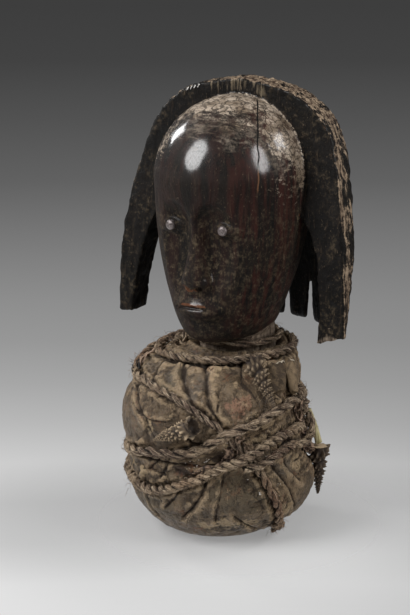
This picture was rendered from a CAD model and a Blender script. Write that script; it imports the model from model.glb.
import math

import bpy
import numpy as np
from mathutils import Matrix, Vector


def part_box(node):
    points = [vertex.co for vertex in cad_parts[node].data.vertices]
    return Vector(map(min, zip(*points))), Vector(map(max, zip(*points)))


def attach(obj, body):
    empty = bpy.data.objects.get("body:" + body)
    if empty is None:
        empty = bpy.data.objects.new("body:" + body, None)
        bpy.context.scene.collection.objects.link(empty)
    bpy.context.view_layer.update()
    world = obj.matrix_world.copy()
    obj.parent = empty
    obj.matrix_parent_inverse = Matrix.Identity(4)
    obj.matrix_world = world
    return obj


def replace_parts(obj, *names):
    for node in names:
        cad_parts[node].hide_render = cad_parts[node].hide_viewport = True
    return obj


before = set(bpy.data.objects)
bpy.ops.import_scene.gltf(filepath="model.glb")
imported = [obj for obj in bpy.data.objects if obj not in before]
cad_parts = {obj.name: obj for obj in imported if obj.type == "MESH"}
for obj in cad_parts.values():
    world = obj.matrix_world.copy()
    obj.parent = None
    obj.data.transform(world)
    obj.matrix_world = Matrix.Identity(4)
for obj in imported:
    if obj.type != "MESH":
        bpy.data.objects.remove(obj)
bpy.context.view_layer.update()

mm = 0.001

# The picture
# The figure stands on a pale floor that fades into a grey studio backdrop, seen a little from its left
# and from above. Four soft boxes ring it: two in front and two behind, as the gloss on the brow shows.
# Left and right in the comments are the figure's own.

view_turn = math.radians(30)
view_rise = math.radians(15)
view_distance = 2.0
aim_point = Vector((-0.0129, -0.0074, 0.2486))
toward_camera = Vector((
    math.sin(view_turn) * math.cos(view_rise),
    -math.cos(view_turn) * math.cos(view_rise),
    math.sin(view_rise),
))
camera = bpy.data.objects.new("camera", bpy.data.cameras.new("camera"))
camera.data.sensor_width = 36
camera.data.lens = 106.4
camera.location = aim_point + toward_camera * view_distance
camera.rotation_euler = (-toward_camera).to_track_quat("-Z", "Y").to_euler()
bpy.context.scene.collection.objects.link(camera)
bpy.context.scene.camera = camera
bpy.context.scene.view_settings.view_transform = "Standard"


class Wire:
    """A node's output that adds Math nodes when it is used in an expression."""

    def __init__(self, nodes, socket):
        self.nodes = nodes
        self.socket = socket

    def also(self, output):
        return Wire(self.nodes, self.socket.node.outputs[output])

    def maths(self, operation, *values):
        return self.nodes.node("Math", {"operation": operation}, dict(enumerate(values)))

    def __add__(self, other):
        return self.maths("ADD", self, other)

    def __sub__(self, other):
        return self.maths("SUBTRACT", self, other)

    def __rsub__(self, other):
        return self.maths("SUBTRACT", other, self)

    def __mul__(self, other):
        return self.maths("MULTIPLY", self, other)

    def __truediv__(self, other):
        return self.maths("DIVIDE", self, other)

    __radd__ = __add__
    __rmul__ = __mul__


class Nodes:
    """A node tree, whose nodes are all made by node()."""

    def __init__(self, tree):
        self.tree = tree

    def node(self, kind, settings=None, inputs=None, output=0):
        made = self.tree.nodes.new(kind if "Node" in kind else "ShaderNode" + kind)
        for key, value in (settings or {}).items():
            if key == "stops":
                ramp = made.color_ramp
                while len(ramp.elements) < len(value):
                    ramp.elements.new(0.5)
                for element, (place, colour) in zip(ramp.elements, value):
                    element.position = place
                    element.color = (*colour, 1)
            else:
                setattr(made, key, value)
        for key, value in (inputs or {}).items():
            self.plug(made.inputs[key], value)
        return Wire(self, made.outputs[output]) if made.outputs else None

    def plug(self, socket, value):
        if isinstance(value, Wire):
            self.tree.links.new(value.socket, socket)
        elif isinstance(value, tuple) and len(value) == 3 and socket.type == "RGBA":
            socket.default_value = (*value, 1)
        else:
            socket.default_value = value


class Finish(Nodes):
    """A material with a Principled shader."""

    def __init__(self, name):
        self.material = bpy.data.materials.new(name)
        self.material.use_nodes = True
        super().__init__(self.material.node_tree)
        self.shader = self.tree.nodes["Principled BSDF"]

    def shade(self, **values):
        for key, value in values.items():
            self.plug(self.shader.inputs[key.replace("_", " ")], value)

    def place(self):
        return self.node("TexCoord", output="Object")

    def painted(self, name):
        """One of the masks that the mesh carries."""
        return self.node("Attribute", {"attribute_name": name}, output="Fac")

    def noise(self, scale, detail=3, roughness=0.5, stretch=None, place=None, distortion=0):
        place = place or self.place()
        if stretch:
            place = self.stretched(place, stretch)
        return self.node("TexNoise", {}, {
            "Vector": place, "Scale": scale, "Detail": detail, "Roughness": roughness,
            "Distortion": distortion})

    def band(self, value, low, high, start=0.0, end=1.0):
        """Goes from start to end as value goes from low to high."""
        return self.node("MapRange", {"interpolation_type": "SMOOTHSTEP"},
                         {0: value, 1: low, 2: high, 3: start, 4: end})

    def mix(self, share, first, second):
        return self.node("Mix", {"data_type": "RGBA"}, {0: share, 6: first, 7: second}, output=2)

    def bump(self, height, distance, strength=1.0):
        return self.node("Bump", {}, {"Height": height, "Distance": distance, "Strength": strength})

    def greater(self, first, second):
        return self.node("Math", {"operation": "MAXIMUM"}, {0: first, 1: second})

    def stretched(self, place, scale):
        return self.node("Mapping", {"vector_type": "POINT"}, {"Vector": place, "Scale": scale})

    def pushed_place(self, scale, amount):
        """Object coordinates pushed about by a noise."""
        push = self.node("TexNoise", {}, {"Vector": self.place(), "Scale": scale, "Detail": 3.0},
                         output="Color")
        return self.node("VectorMath", {"operation": "MULTIPLY_ADD"},
                         {0: push, 1: (amount,) * 3, 2: self.place()})

    def cell_edges(self, place, scale):
        """Distance to the nearest border between cells."""
        return self.node("TexVoronoi", {"feature": "DISTANCE_TO_EDGE"}, {"Vector": place, "Scale": scale})

    def ragged(self, name, noise, amount, low, high):
        """A painted mask, with its border broken up by a noise."""
        return self.band(self.painted(name) + (noise - 0.5) * amount, low, high)

    def layered(self, tone, layers):
        """Colours laid over a tone one after another, each by its own share."""
        for share, colour in layers:
            tone = self.mix(share, tone, colour)
        return tone


def make_object(name, mesh, finish):
    piece = bpy.data.objects.new(name, mesh)
    bpy.context.scene.collection.objects.link(piece)
    mesh.materials.append(finish.material)
    return piece


def soft_box(name, turn, rise, distance, width, height, power, shape="RECTANGLE", mirrored=True):
    """A wide soft light; turn is counted from straight in front, towards the figure's own left."""
    light = bpy.data.lights.new(name, "AREA")
    light.shape = shape
    light.size = width
    light.size_y = height
    light.energy = power
    lamp = bpy.data.objects.new(name, light)
    turn, rise = math.radians(turn), math.radians(rise)
    away = Vector((math.sin(turn) * math.cos(rise), -math.cos(turn) * math.cos(rise), math.sin(rise)))
    lamp.location = Vector((0, 0, 0.36)) + away * distance
    lamp.rotation_euler = away.to_track_quat("Z", "Y").to_euler()
    lamp.visible_glossy = mirrored
    bpy.context.scene.collection.objects.link(lamp)


soft_box("box_front_right", -29, 36, 1.5, 0.86, 1.06, 30, "ELLIPSE")
soft_box("box_back_right", -101, 29, 1.5, 0.30, 0.46, 8)
soft_box("box_front_left", 86, 28, 1.5, 0.42, 0.92, 10, "ELLIPSE")
soft_box("box_back_left", 130, 31, 1.5, 0.50, 0.36, 8)
soft_box("box_overhead", 20, 80, 1.6, 1.20, 1.20, 9, mirrored=False)
soft_box("box_low_left", 68, -10, 1.5, 0.90, 0.16, 6, mirrored=False)

backdrop = bpy.data.worlds.new("backdrop")
bpy.context.scene.world = backdrop
backdrop.use_nodes = True
sky = Nodes(backdrop.node_tree)
# Height of the direction from -0.42 to -0.08 as a share, and the brightness there
backdrop_tones = [
    (0.00, 0.680),
    (0.06, 0.672),
    (0.12, 0.530),
    (0.18, 0.478),
    (0.24, 0.545),
    (0.30, 0.436),
    (0.36, 0.354),
    (0.425, 0.290),
    (0.486, 0.257),
    (0.58, 0.188),
    (0.675, 0.1195),
    (0.77, 0.0843),
    (0.865, 0.0545),
    (0.95, 0.0480),
    (1.00, 0.0470),
]
sky_x = sky.node("SeparateXYZ", {}, {0: sky.node("TexCoord", output="Generated")})
sky_y, sky_z = sky_x.also("Y"), sky_x.also("Z")
sky_share = sky.node("MapRange", {}, {0: sky_z, 1: -0.42, 2: -0.08})
sky_tone = sky.node("ValToRGB", {"stops": [(share, (level,) * 3) for share, level in backdrop_tones]},
                    {0: sky_share})
to_right = sky_x * math.cos(view_turn) + sky_y * math.sin(view_turn)
low_down = sky.node("MapRange", {}, {0: sky_z, 1: -0.33, 2: -0.20, 3: 1.10, 4: 0.0})
# Brighter towards straight below, where light comes back off the ground
from_below = sky.node("MapRange", {}, {0: sky_z, 1: -0.80, 2: -0.50, 3: 1.7, 4: 1.0})
sky_shader = sky.tree.nodes["Background"]
sky.plug(sky_shader.inputs["Color"], sky_tone)
sky.plug(sky_shader.inputs["Strength"], (1 - to_right * low_down) * from_below)

paper = Finish("floor_paper")
floor_mesh = bpy.data.meshes.new("floor")
floor_reach = 1.2
floor_corners = [(x * floor_reach, y * floor_reach, 0) for x, y in ((-1, -1), (1, -1), (1, 1), (-1, 1))]
floor_mesh.from_pydata(floor_corners, [], [(0, 1, 2, 3)])
floor = make_object("floor", floor_mesh, paper)
floor_distance = paper.node("VectorMath", {"operation": "LENGTH"}, {0: paper.place()},
                                   output="Value")
floor_x = paper.node("SeparateXYZ", {}, {0: paper.place()})
floor_grey = 0.49 + (floor_x * math.cos(view_turn) + floor_x.also("Y") * math.sin(view_turn)) * 0.9
paper.shade(
    Base_Color=floor_grey,
    Roughness=0.8,
    Alpha=paper.band(floor_distance, 0.09, 0.32, 0.52, 0.0),
)
paper.shader.inputs["Specular IOR Level"].default_value = 0.1


# Carved head
# One block of hardwood: the head and neck, the arched coiffure and the tresses behind the nape. It is
# cut with an adze and a knife, oiled almost black, polished on the brow, crackled on the crown, and
# worn to pale wood down the outer edges and on the neck.

packet_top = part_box("relic_bundle")[1][2] / mm
head_low, head_high = (np.array(corner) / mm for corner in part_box("carved_head"))
neck_axis = np.array([8.0, 30.0])
neck_radius = 41
neck_foot_z = head_low[2]
chin_z = packet_top + 14
head_height = 262
crown_z = chin_z + head_height
half_width = 83
half_depth = 96
widest_share = 0.67
skull_centre = np.array([neck_axis[0], neck_axis[1] - 11, chin_z + widest_share * head_height])
skull_rise = (1 - widest_share) * head_height
skull_drop = widest_share * head_height
face_front = skull_centre[1] - half_depth
eye_z = chin_z + head_height / 2
nose_z = chin_z + head_height / 4
mouth_z = chin_z + head_height / 6
eye_x = 0.38 * half_width
eye_y = face_front + 0.265 * half_depth
stud_seat_stand = 9.5


def curve(rows, place, column=1):
    """Smooth curve through rows of place and values."""
    rows = np.array(rows, float)
    places, values = rows[:, 0], rows[:, column]
    before = np.r_[places[0], places[:-1]], np.r_[values[0], values[:-1]]
    after = np.r_[places[1:], places[-1]], np.r_[values[1:], values[-1]]
    slopes = (after[1] - before[1]) / (after[0] - before[0])
    place = np.clip(place, places[0], places[-1])
    k = np.clip(np.searchsorted(places, place, side="right") - 1, 0, len(places) - 2)
    span = places[k + 1] - places[k]
    u = (place - places[k]) / span
    rise = values[k + 1] - values[k]
    return (values[k] + u * u * (3 - 2 * u) * rise
            + span * (u * (1 - u) ** 2 * slopes[k] - u * u * (1 - u) * slopes[k + 1]))


def ramp(value, low, high):
    share = np.clip((value - low) / (high - low), 0, 1)
    return share * share * (3 - 2 * share)


def join(a, b, blend):
    """The nearer of two surfaces, rounded where they meet."""
    share = np.clip(0.5 + 0.5 * (b - a) / blend, 0, 1)
    return b + (a - b) * share - blend * share * (1 - share)


def both(a, b, blend):
    return -join(-a, -b, blend)


def ball(x, y, z, centre, radii):
    """Distance from an ellipsoid, near enough close to it."""
    a, b, c = ((v - m) / r for v, m, r in zip((x, y, z), centre, radii))
    near = np.sqrt(a * a + b * b + c * c)
    far = np.sqrt((a / radii[0]) ** 2 + (b / radii[1]) ** 2 + (c / radii[2]) ** 2)
    return near * (near - 1) / np.maximum(far, 1e-6)


# share of the way from the widest level down to the chin; half width, front reach, back reach
lower_head = [
    (0.00, 1.00, 1.00, 1.00),
    (0.25, 0.99, 0.94, 0.93),
    (0.50, 0.92, 0.90, 0.68),
    (0.70, 0.80, 0.87, 0.45),
    (0.86, 0.67, 0.83, 0.30),
    (0.96, 0.53, 0.76, 0.22),
    (1.00, 0.40, 0.68, 0.15),
]


def skull(x, y, z):
    x, y, z = x - skull_centre[0], y - skull_centre[1], z - skull_centre[2]
    down = np.clip(-z / skull_drop, 0, 1)
    width = half_width * curve(lower_head, down, 1)
    reach = half_depth * np.where(y < 0, curve(lower_head, down, 2), curve(lower_head, down, 3))
    a, b, c = x / width, y / reach, np.maximum(z, 0) / skull_rise
    near = np.sqrt(a * a + b * b + c * c)
    far = np.sqrt((a / width) ** 2 + (b / reach) ** 2 + (c / skull_rise) ** 2)
    side = near * (near - 1) / np.maximum(far, 1e-6)
    return both(side, -skull_drop - z, 10)


# share of the way down; half width, reach in front of the face's front plane
nose_rows = [
    (0.00, 7, -9),
    (0.20, 6, -10),
    (0.50, 9, -7),
    (0.80, 13, -2),
    (0.93, 16, -1),
    (1.00, 14, -5),
]
nose_section = [(0, 0.35), (5, 0.80), (14, 1.10), (40, 1.15)]
nose_top = eye_z + 0.09 * head_height


def nose(x, y, z):
    down = (nose_top - z) / (nose_top - nose_z)
    width = curve(nose_rows, down, 1)
    front = face_front - curve(nose_rows, down, 2)
    side = np.abs(x - skull_centre[0]) - width * curve(nose_section, y - front)
    body = both(both(0.8 * side, front - y, 4), y - face_front - 0.4 * half_depth, 2)
    return both(body, both(nose_z - z, z - nose_top, 6), 5)


def face(x, y, z):
    head = skull(x, y, z)
    for side in (-1, 1):
        hollow = ball(x, y, z, (skull_centre[0] + side * 0.35 * half_width, face_front - 0.02 * half_depth,
                                eye_z - 0.11 * head_height),
                      (0.46 * half_width, 0.29 * half_depth, 0.235 * head_height))
        head = both(head, -hollow, 3.5)
    head = join(head, nose(x, y, z), 7)
    nostril_y = face_front + 9
    for side in (-1, 1):
        nostril = ball(x, y, z, (skull_centre[0] + side * 6.5, nostril_y, nose_z + 1), (4.2, 5.5, 4.5))
        head = both(head, -nostril, 2)
    lips = ball(x, y, z, (skull_centre[0], face_front + 0.29 * half_depth, mouth_z - 1),
                (0.40 * half_width, 0.24 * half_depth, 15))
    head = join(head, lips, 5)
    bow = mouth_z + 1.5 * np.cos(np.clip((x - skull_centre[0]) / 14, -3, 3))
    slit = both(np.abs(z - bow) - 1.6, both(y - face_front - 9, np.abs(x - skull_centre[0]) - 33, 4), 2)
    head = both(head, -slit, 2.5)
    for side in (-1, 1):
        centre_x = skull_centre[0] + side * eye_x
        lid = ball(x, y, z, (centre_x, eye_y, eye_z), (0.235 * half_width, 9, 10.5))
        almond = ball(x, y, z, (centre_x, eye_y - 1.5, eye_z), (0.19 * half_width, 8.5, 7))
        rim = both(lid, -(almond + 1.6), 1.5)
        seat = both(np.hypot(x - centre_x, z - eye_z) - 6.3,
                    both(eye_y - stud_seat_stand - y, y - eye_y - 6, 1), 1)
        head = join(join(join(head, rim, 3), almond, 2), seat, 1.5)
    return head


# height share, half width of the coiffure's outer edge there
crest_outline = [
    (0.00, 142),
    (0.09, 142),
    (0.18, 141),
    (0.35, 137),
    (0.48, 132),
    (0.60, 126),
    (0.70, 119),
    (0.78, 112),
    (0.85, 101),
    (0.905, 86),
    (0.95, 66),
    (0.98, 40),
    (1.00, 0),
]
# height share, width of the band there as a share of a tress's width
crest_widths = [(0.00, 1.00), (0.20, 1.02), (0.36, 1.15), (0.46, 1.50), (0.56, 2.20), (1.00, 2.20)]
# height share, the front face's place behind the neck's axis
crest_lean = [(0.00, -24), (0.35, -22), (0.50, -16), (0.65, -6), (0.80, 1), (1.00, 5)]
crest_foot_z = chin_z + 2
crest_height = crown_z + 16 - crest_foot_z
crest_depth = 33
crest_centre_z = crest_foot_z + 0.56 * crest_height
tress_width = 28
foot_share = 0.33
left_foot = {"width": 32, "depth": 6}
right_foot = {"width": 17, "depth": 32}


def crest_side(side):
    """Outer and inner edge of one half of the coiffure, from its foot to its top."""
    foot = left_foot if side > 0 else right_foot
    edges = [], []
    for share in np.linspace(0, 1, 60) ** 0.8:
        half = curve(crest_outline, share)
        grown = min(share / foot_share, 1)
        width = curve(crest_widths, share) * (foot["width"] + (tress_width - foot["width"]) * grown)
        outer = np.array([side * half, crest_foot_z + share * crest_height])
        inward = np.array([0, min(outer[1], crest_centre_z)]) - outer
        inner = outer + inward / np.linalg.norm(inward) * width
        if share == 0 and side > 0:
            outer += (-5, 9)
        if share == 0 and side < 0:
            outer += (0, 5)
            inner += (0, 5)
        edges[0].append(outer)
        edges[1].append(inner)
    return edges


left_outer, left_inner = crest_side(1)
right_outer, right_inner = crest_side(-1)
crest_corners = np.array(right_outer + left_outer[::-1] + left_inner + right_inner[::-1])
crest_corners[:, 0] += skull_centre[0]


def plan_distance(corners, x, z):
    """Distance from a flat outline, negative inside it."""
    x, z = np.broadcast_arrays(x, z)
    nearest = np.full(x.shape, 1e9)
    inside = np.zeros(x.shape, bool)
    for (ax, az), (bx, bz) in zip(corners, np.roll(corners, -1, axis=0)):
        ex, ez = bx - ax, bz - az
        length = ex * ex + ez * ez
        if length < 1e-9:
            continue
        t = np.clip(((x - ax) * ex + (z - az) * ez) / length, 0, 1)
        nearest = np.minimum(nearest, (x - ax - t * ex) ** 2 + (z - az - t * ez) ** 2)
        if ez:
            crosses = ((az > z) != (bz > z)) & (x < ax + (z - az) * ex / ez)
            inside ^= crosses
    return np.where(inside, -1, 1) * np.sqrt(nearest)


def crest(x, y, z):
    share = np.clip((z - crest_foot_z) / crest_height, 0, 1)
    grown = np.minimum(share / foot_share, 1) ** 1.5
    foot_depth = np.where(x > skull_centre[0], left_foot["depth"], right_foot["depth"])
    depth = foot_depth + (crest_depth - foot_depth) * grown
    front = neck_axis[1] + curve(crest_lean, share)
    across = np.abs(y - front - depth / 2) - depth / 2
    return both(plan_distance(crest_corners, x, z), across, 3)


nape_radius = 116
nape_wall = 15
nape_foot_z = chin_z - 8
nape_top = crown_z - 4
nape_side = math.radians(62)
nape_cuts = [-41, -21, 3, 21, 41]
# share of the height from foot to dome, share of the nape's radius
nape_profile = [(0.00, 0.97), (0.40, 1.00), (0.75, 1.00), (1.00, 0.97)]


def nape_shell(radius, z, shrink, foot_z, top_z, rise):
    spring = top_z - rise
    share = np.clip((z - foot_z) / (spring - foot_z), 0, 1)
    wall = curve(nape_profile, share) * nape_radius - shrink
    a, c = radius / wall, np.maximum(z - spring, 0) / rise
    near = np.sqrt(a * a + c * c)
    far = np.sqrt((a / wall) ** 2 + (c / rise) ** 2)
    return near * (near - 1) / np.maximum(far, 1e-6)


def nape(x, y, z):
    x, y = x - neck_axis[0], y - neck_axis[1]
    radius = np.hypot(x, y)
    turn = np.arctan2(np.abs(x), y)
    hollow_top = skull_centre[2] - nape_wall
    outer = nape_shell(radius, z, 0, nape_foot_z, nape_top, nape_top - skull_centre[2] + nape_wall)
    inner = nape_shell(radius, z, nape_wall, nape_foot_z - nape_wall, hollow_top, nape_wall)
    shell = both(outer, -inner, 4)
    shell = both(both(shell, crest_depth / 4 - y, 3), nape_foot_z - z, 9)
    opening_top = chin_z + 115
    narrowing = math.radians(12) * np.clip((z - nape_foot_z) / (opening_top - nape_foot_z), 0, 1)
    opening = both(both((nape_side + narrowing - turn) * radius, z - opening_top, 8),
                   nape_radius - 3 * nape_wall - radius, 2)
    shell = both(shell, -opening, 4)
    for degrees in nape_cuts:
        angle = math.radians(degrees)
        slant = angle - math.copysign(math.radians(min(abs(degrees) + 30, 50)), degrees)
        middle = nape_radius - nape_wall / 2
        from_x, from_y = x - middle * math.sin(angle), y - middle * math.cos(angle)
        across = from_x * math.cos(slant) - from_y * math.sin(slant)
        along = from_x * math.sin(slant) + from_y * math.cos(slant)
        climb = np.clip((z - nape_foot_z) / 46, 0, 1)
        slot = both(both(np.abs(across) - (7 - 4.5 * climb) / 2, z - nape_foot_z - 46, 2),
                    np.abs(along) - 1.6 * nape_wall, 2)
        shell = both(shell, -slot, 4)
        across = x * math.cos(angle) - y * math.sin(angle)
        outward = x * math.sin(angle) + y * math.cos(angle)
        groove = both(np.abs(across) - 1.2, both(-outer - 1.6, z - crown_z + 30, 2), 1)
        shell = both(shell, -both(groove, -outward, 1), 1)
    return shell


def neck(x, y, z):
    above = np.clip((z - neck_foot_z) / 50, 0, 1)
    wall = np.hypot(x - neck_axis[0], y - neck_axis[1]) - neck_radius - 3 * (1 - above) ** 2
    return both(wall, both(neck_foot_z - z, z - skull_centre[2] + 0.2 * head_height, 4), 1.5)


def carving(x, y, z):
    head = join(face(x, y, z), neck(x, y, z), 6)
    return join(head, join(crest(x, y, z), nape(x, y, z), 5), 1)


def surface_net(field, low, step):
    """Mesh of squares round the part of a sampled field that is below zero."""
    inside = field < 0
    cells = np.array(field.shape) - 1
    total = np.zeros((*cells, 3), np.float32)
    count = np.zeros(cells, np.float32)
    crossings = []
    for axis in range(3):
        near = [slice(None)] * 3
        far = [slice(None)] * 3
        near[axis], far[axis] = slice(None, -1), slice(1, None)
        near, far = tuple(near), tuple(far)
        crossed = np.argwhere(inside[near] != inside[far])
        a = field[near][tuple(crossed.T)]
        b = field[far][tuple(crossed.T)]
        spot = crossed.astype(np.float32)
        spot[:, axis] += a / (a - b)
        crossings.append((axis, crossed, inside[near][tuple(crossed.T)]))
        u, v = [other for other in range(3) if other != axis]
        for du in (0, -1):
            for dv in (0, -1):
                cell = crossed.copy()
                cell[:, u] += du
                cell[:, v] += dv
                fits = ((cell >= 0) & (cell < cells)).all(axis=1)
                flat = np.ravel_multi_index(tuple(cell[fits].T), tuple(cells))
                for k in range(3):
                    total[..., k].reshape(-1)[:] += np.bincount(flat, spot[fits][:, k], count.size)
                count.reshape(-1)[:] += np.bincount(flat, minlength=count.size)
    used = count > 0
    number = np.full(tuple(cells), -1)
    number[used] = np.arange(used.sum())
    points = low + step * total[used] / count[used][:, None]
    quads = []
    for axis, crossed, first_inside in crossings:
        u, v = [(1, 2), (2, 0), (0, 1)][axis]
        ring = []
        for du, dv in ((-1, -1), (0, -1), (0, 0), (-1, 0)):
            cell = crossed.copy()
            cell[:, u] += du
            cell[:, v] += dv
            ring.append(number[tuple(cell.T)])
        ring = np.stack(ring, axis=1)
        ring[~first_inside] = ring[~first_inside][:, ::-1]
        quads.append(ring)
    return points, np.concatenate(quads)


def slope(solid, points, reach=0.4):
    """Direction in which a solid's distance grows, at each point."""
    x, y, z = points.T
    steps = [(solid(x + reach * (k == 0), y + reach * (k == 1), z + reach * (k == 2))
              - solid(x - reach * (k == 0), y - reach * (k == 1), z - reach * (k == 2))) / (2 * reach)
             for k in range(3)]
    return np.stack(steps, axis=1)


def unit(vectors):
    return vectors / np.maximum(np.linalg.norm(vectors, axis=-1, keepdims=True), 1e-9)


def draw_onto(solid, points, times=3):
    for _ in range(times):
        away = slope(solid, points)
        size = np.maximum((away ** 2).sum(axis=1), 0.2)
        pull = solid(*points.T) / size
        points = points - away * np.clip(pull, -1.5, 1.5)[:, None]
    return points


def lump(points, size, seed):
    """Smooth random value from -1 to 1 at each point; size is the lumps' width, one or one for each axis."""
    table = np.random.default_rng(seed).uniform(-1, 1, (32, 32, 32))
    spot = points / np.array(size, float)
    cell = np.floor(spot).astype(int)
    u = spot - cell
    u = u * u * (3 - 2 * u)
    value = 0
    for corner in np.ndindex(2, 2, 2):
        weight = np.prod(np.where(corner, u, 1 - u), axis=-1)
        i, j, k = ((cell[..., n] + corner[n]) % 32 for n in range(3))
        value = value + weight * table[i, j, k]
    return value


def mesh_from(name, points, faces, masks=None):
    """A smooth mesh; faces is a list of arrays, and each mask is kept on the points under its own name."""
    mesh = bpy.data.meshes.new(name)
    sizes = np.concatenate([np.full(len(part), part.shape[1]) for part in faces])
    corners = np.concatenate([part.ravel() for part in faces])
    mesh.vertices.add(len(points))
    mesh.vertices.foreach_set("co", (np.asarray(points) * mm).astype(np.float32).ravel())
    mesh.loops.add(len(corners))
    mesh.loops.foreach_set("vertex_index", corners.astype(np.int32))
    mesh.polygons.add(len(sizes))
    mesh.polygons.foreach_set("loop_start", np.r_[0, np.cumsum(sizes)[:-1]].astype(np.int32))
    mesh.update(calc_edges=True)
    mesh.validate()
    mesh.shade_smooth()
    for mask_name, values in (masks or {}).items():
        layer = mesh.attributes.new(mask_name, "FLOAT", "POINT")
        layer.data.foreach_set("value", np.asarray(values, np.float32).ravel())
    return mesh


grid_step = 2.1
grid_low = head_low - 4
grid_count = np.ceil((head_high + 4 - grid_low) / grid_step).astype(int) + 1
grid_x, grid_y, grid_z = (grid_low[k] + grid_step * np.arange(grid_count[k]) for k in range(3))
head_field = carving(grid_x[:, None, None], grid_y[None, :, None], grid_z[None, None, :])
head_points, head_quads = surface_net(head_field.astype(np.float32), grid_low, grid_step)
head_points = draw_onto(carving, head_points)
head_outward = unit(slope(carving, head_points))

head_x, head_y, head_z = head_points.T
crest_share = np.clip((head_z - crest_foot_z) / crest_height, 0, 1)
crest_field = crest(head_x, head_y, head_z)
nape_field = nape(head_x, head_y, head_z)
face_field = join(face(head_x, head_y, head_z), neck(head_x, head_y, head_z), 6)
on_crest = ramp(-crest_field, -2.5, 0) * ramp(face_field - crest_field, -1, 3)
on_nape = ramp(-nape_field, -2.5, 0) * ramp(crest_field - nape_field, -3, 1) * (1 - on_crest)
on_head = np.clip(1 - on_crest - on_nape, 0, 1)
crest_edge = plan_distance(crest_corners, head_x, head_z)
faces_front = ramp(-head_outward[:, 1], 0.3, 0.8)

# How open each spot is: above zero on ridges, below zero in hollows
edge_fine = carving(*(head_points - 1.8 * head_outward).T) + 1.8
edge_wide = carving(*(head_points - 6 * head_outward).T) + 6
cavity_wide = 8 - carving(*(head_points + 8 * head_outward).T)

ridges = 1 - np.abs(lump(head_points, [2.4, 2.4, 34], 1))
fine_ridges = 1 - np.abs(lump(head_points, [1.5, 1.5, 18], 2))
broad = lump(head_points, [26, 26, 60], 3)
blotch = lump(head_points, [11, 11, 16], 4)
from_middle = (head_x - skull_centre[0]) / half_width
points_out = np.maximum(head_outward[:, 0] * np.sign(head_x - skull_centre[0]), 0)
points_out = points_out + np.maximum(head_outward[:, 2], 0)
outer_side = on_crest * ramp(crest_edge, -12, -2) * ramp(points_out - np.abs(head_outward[:, 1]), 0.0, 0.5)
# The crust's lower edge over the forehead: place across, and height seen square on
crust_edge = [
    (-84, 390),
    (-76, 398),
    (-69, 416),
    (-60, 429),
    (-43, 431),
    (-26, 425),
    (-11, 419),
    (8, 416),
    (19, 422),
    (30, 408),
    (40, 395),
    (60, 382),
    (75, 362),
    (90, 356),
]
# Where each spot lies in the picture's plane, in mm: across from the middle, and up
across = 0.866 * (head_x - skull_centre[0]) + 0.5 * (head_y - skull_centre[1])
climb = 0.966 * head_z - 0.129 * head_x + 0.224 * head_y
over_edge = climb + 7 * broad + 4 * blotch - curve(crust_edge, across)
crown = on_head * ramp(over_edge, -9, 13)
veil = on_head * ramp(over_edge + 4 * blotch, -30, -2) * ramp(across, 74, 50)
veil = veil * (1 - 0.55 * ramp(-across, 46, 64))
temple = on_head * ramp(-from_middle, 0.66, 0.86) * ramp(head_z, eye_z + 6, eye_z + 40)
cheek_streak = on_head * ramp(from_middle, 0.70, 0.95) * ramp(head_z, eye_z - 10, eye_z + 50)
thin = 0.60 + 0.50 * np.maximum.reduce([
    ramp(across + 6 * blotch, 24, 40), ramp(climb, 438, 458), 0.25 * ramp(-across, 62, 72)])
crust = np.clip(np.maximum.reduce([crown * thin, 0.70 * temple, 0.50 * cheek_streak]), 0, 1)
over_neck = np.hypot(head_x - neck_axis[0], head_y - neck_axis[1])
neck_bare = ramp(neck_foot_z + 84 - head_z + 10 * blotch, 0, 26) * ramp(over_neck, 58, 48)
top_fibres = on_crest * ramp(np.abs(head_x - 4), 46, 26) * ramp(head_z + 3 * blotch, crown_z - 6, crown_z + 4)
rim = outer_side * (0.50 + 0.40 * lump(head_points, [8, 8, 30], 6) + 0.22 * ramp(crest_share, 0.78, 0.97)
                    - 0.2 * ramp(-head_x, 0, 60))
rim = np.maximum(rim, (0.46 + 0.2 * blotch) * top_fibres * (1 - 0.75 * faces_front))
streaked = on_head * ramp(across + 4 * blotch, 44, 66) * ramp(climb, 340, 372)
edge_worn = ramp(edge_fine + 0.35 * blotch, 0.35, 0.95)
foot_worn = on_crest * ramp(crest_foot_z + 17 + 4 * blotch - head_z, 0, 12) * ramp(head_x, 0, 20)
front_left = on_crest * ramp(head_x, 20, 60) * faces_front
polish = on_head * ramp(head_z + 12 * blotch + 10 * broad, eye_z + 4, eye_z + 62) * (1 - 0.35 * crown)
polish = np.maximum(polish, 0.55 * on_head * ramp(eye_z - 16 - head_z, 0, 12) * ramp(edge_wide, 0.6, 2.4))
polish = polish * ramp(head_outward[:, 2], 0.05, 0.24)
polish = np.maximum(polish, 0.7 * on_crest * ramp(edge_fine, 0.3, 0.8) * ramp(crest_share, 0.5, 0.8))

relief = (
    0.45 * (on_crest + 0.7 * on_nape) * (ridges - 0.6)
    + 0.95 * on_crest * lump(head_points, [5, 5, 11], 11)
    + 0.60 * (on_crest + on_nape) * lump(head_points, [2.6, 2.6, 6], 14)
    - 0.90 * on_crest * ramp(lump(head_points, [6, 6, 7], 15), 0.42, 0.80)
    + 0.90 * rim * (ridges - 0.7)
    + 0.60 * rim * (fine_ridges - 0.7)
    + 0.30 * crust * (np.abs(lump(head_points, [3, 3, 7], 8)) - 0.3)
    + 0.25 * neck_bare * (ridges - 0.7)
    + 0.22 * lump(head_points, [9, 9, 20], 9)
    - 0.9 * ramp(edge_fine, 0.5, 1.2) * ramp(lump(head_points, [7, 7, 9], 10), 0.2, 0.8) * (1 - rim)
)
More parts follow.
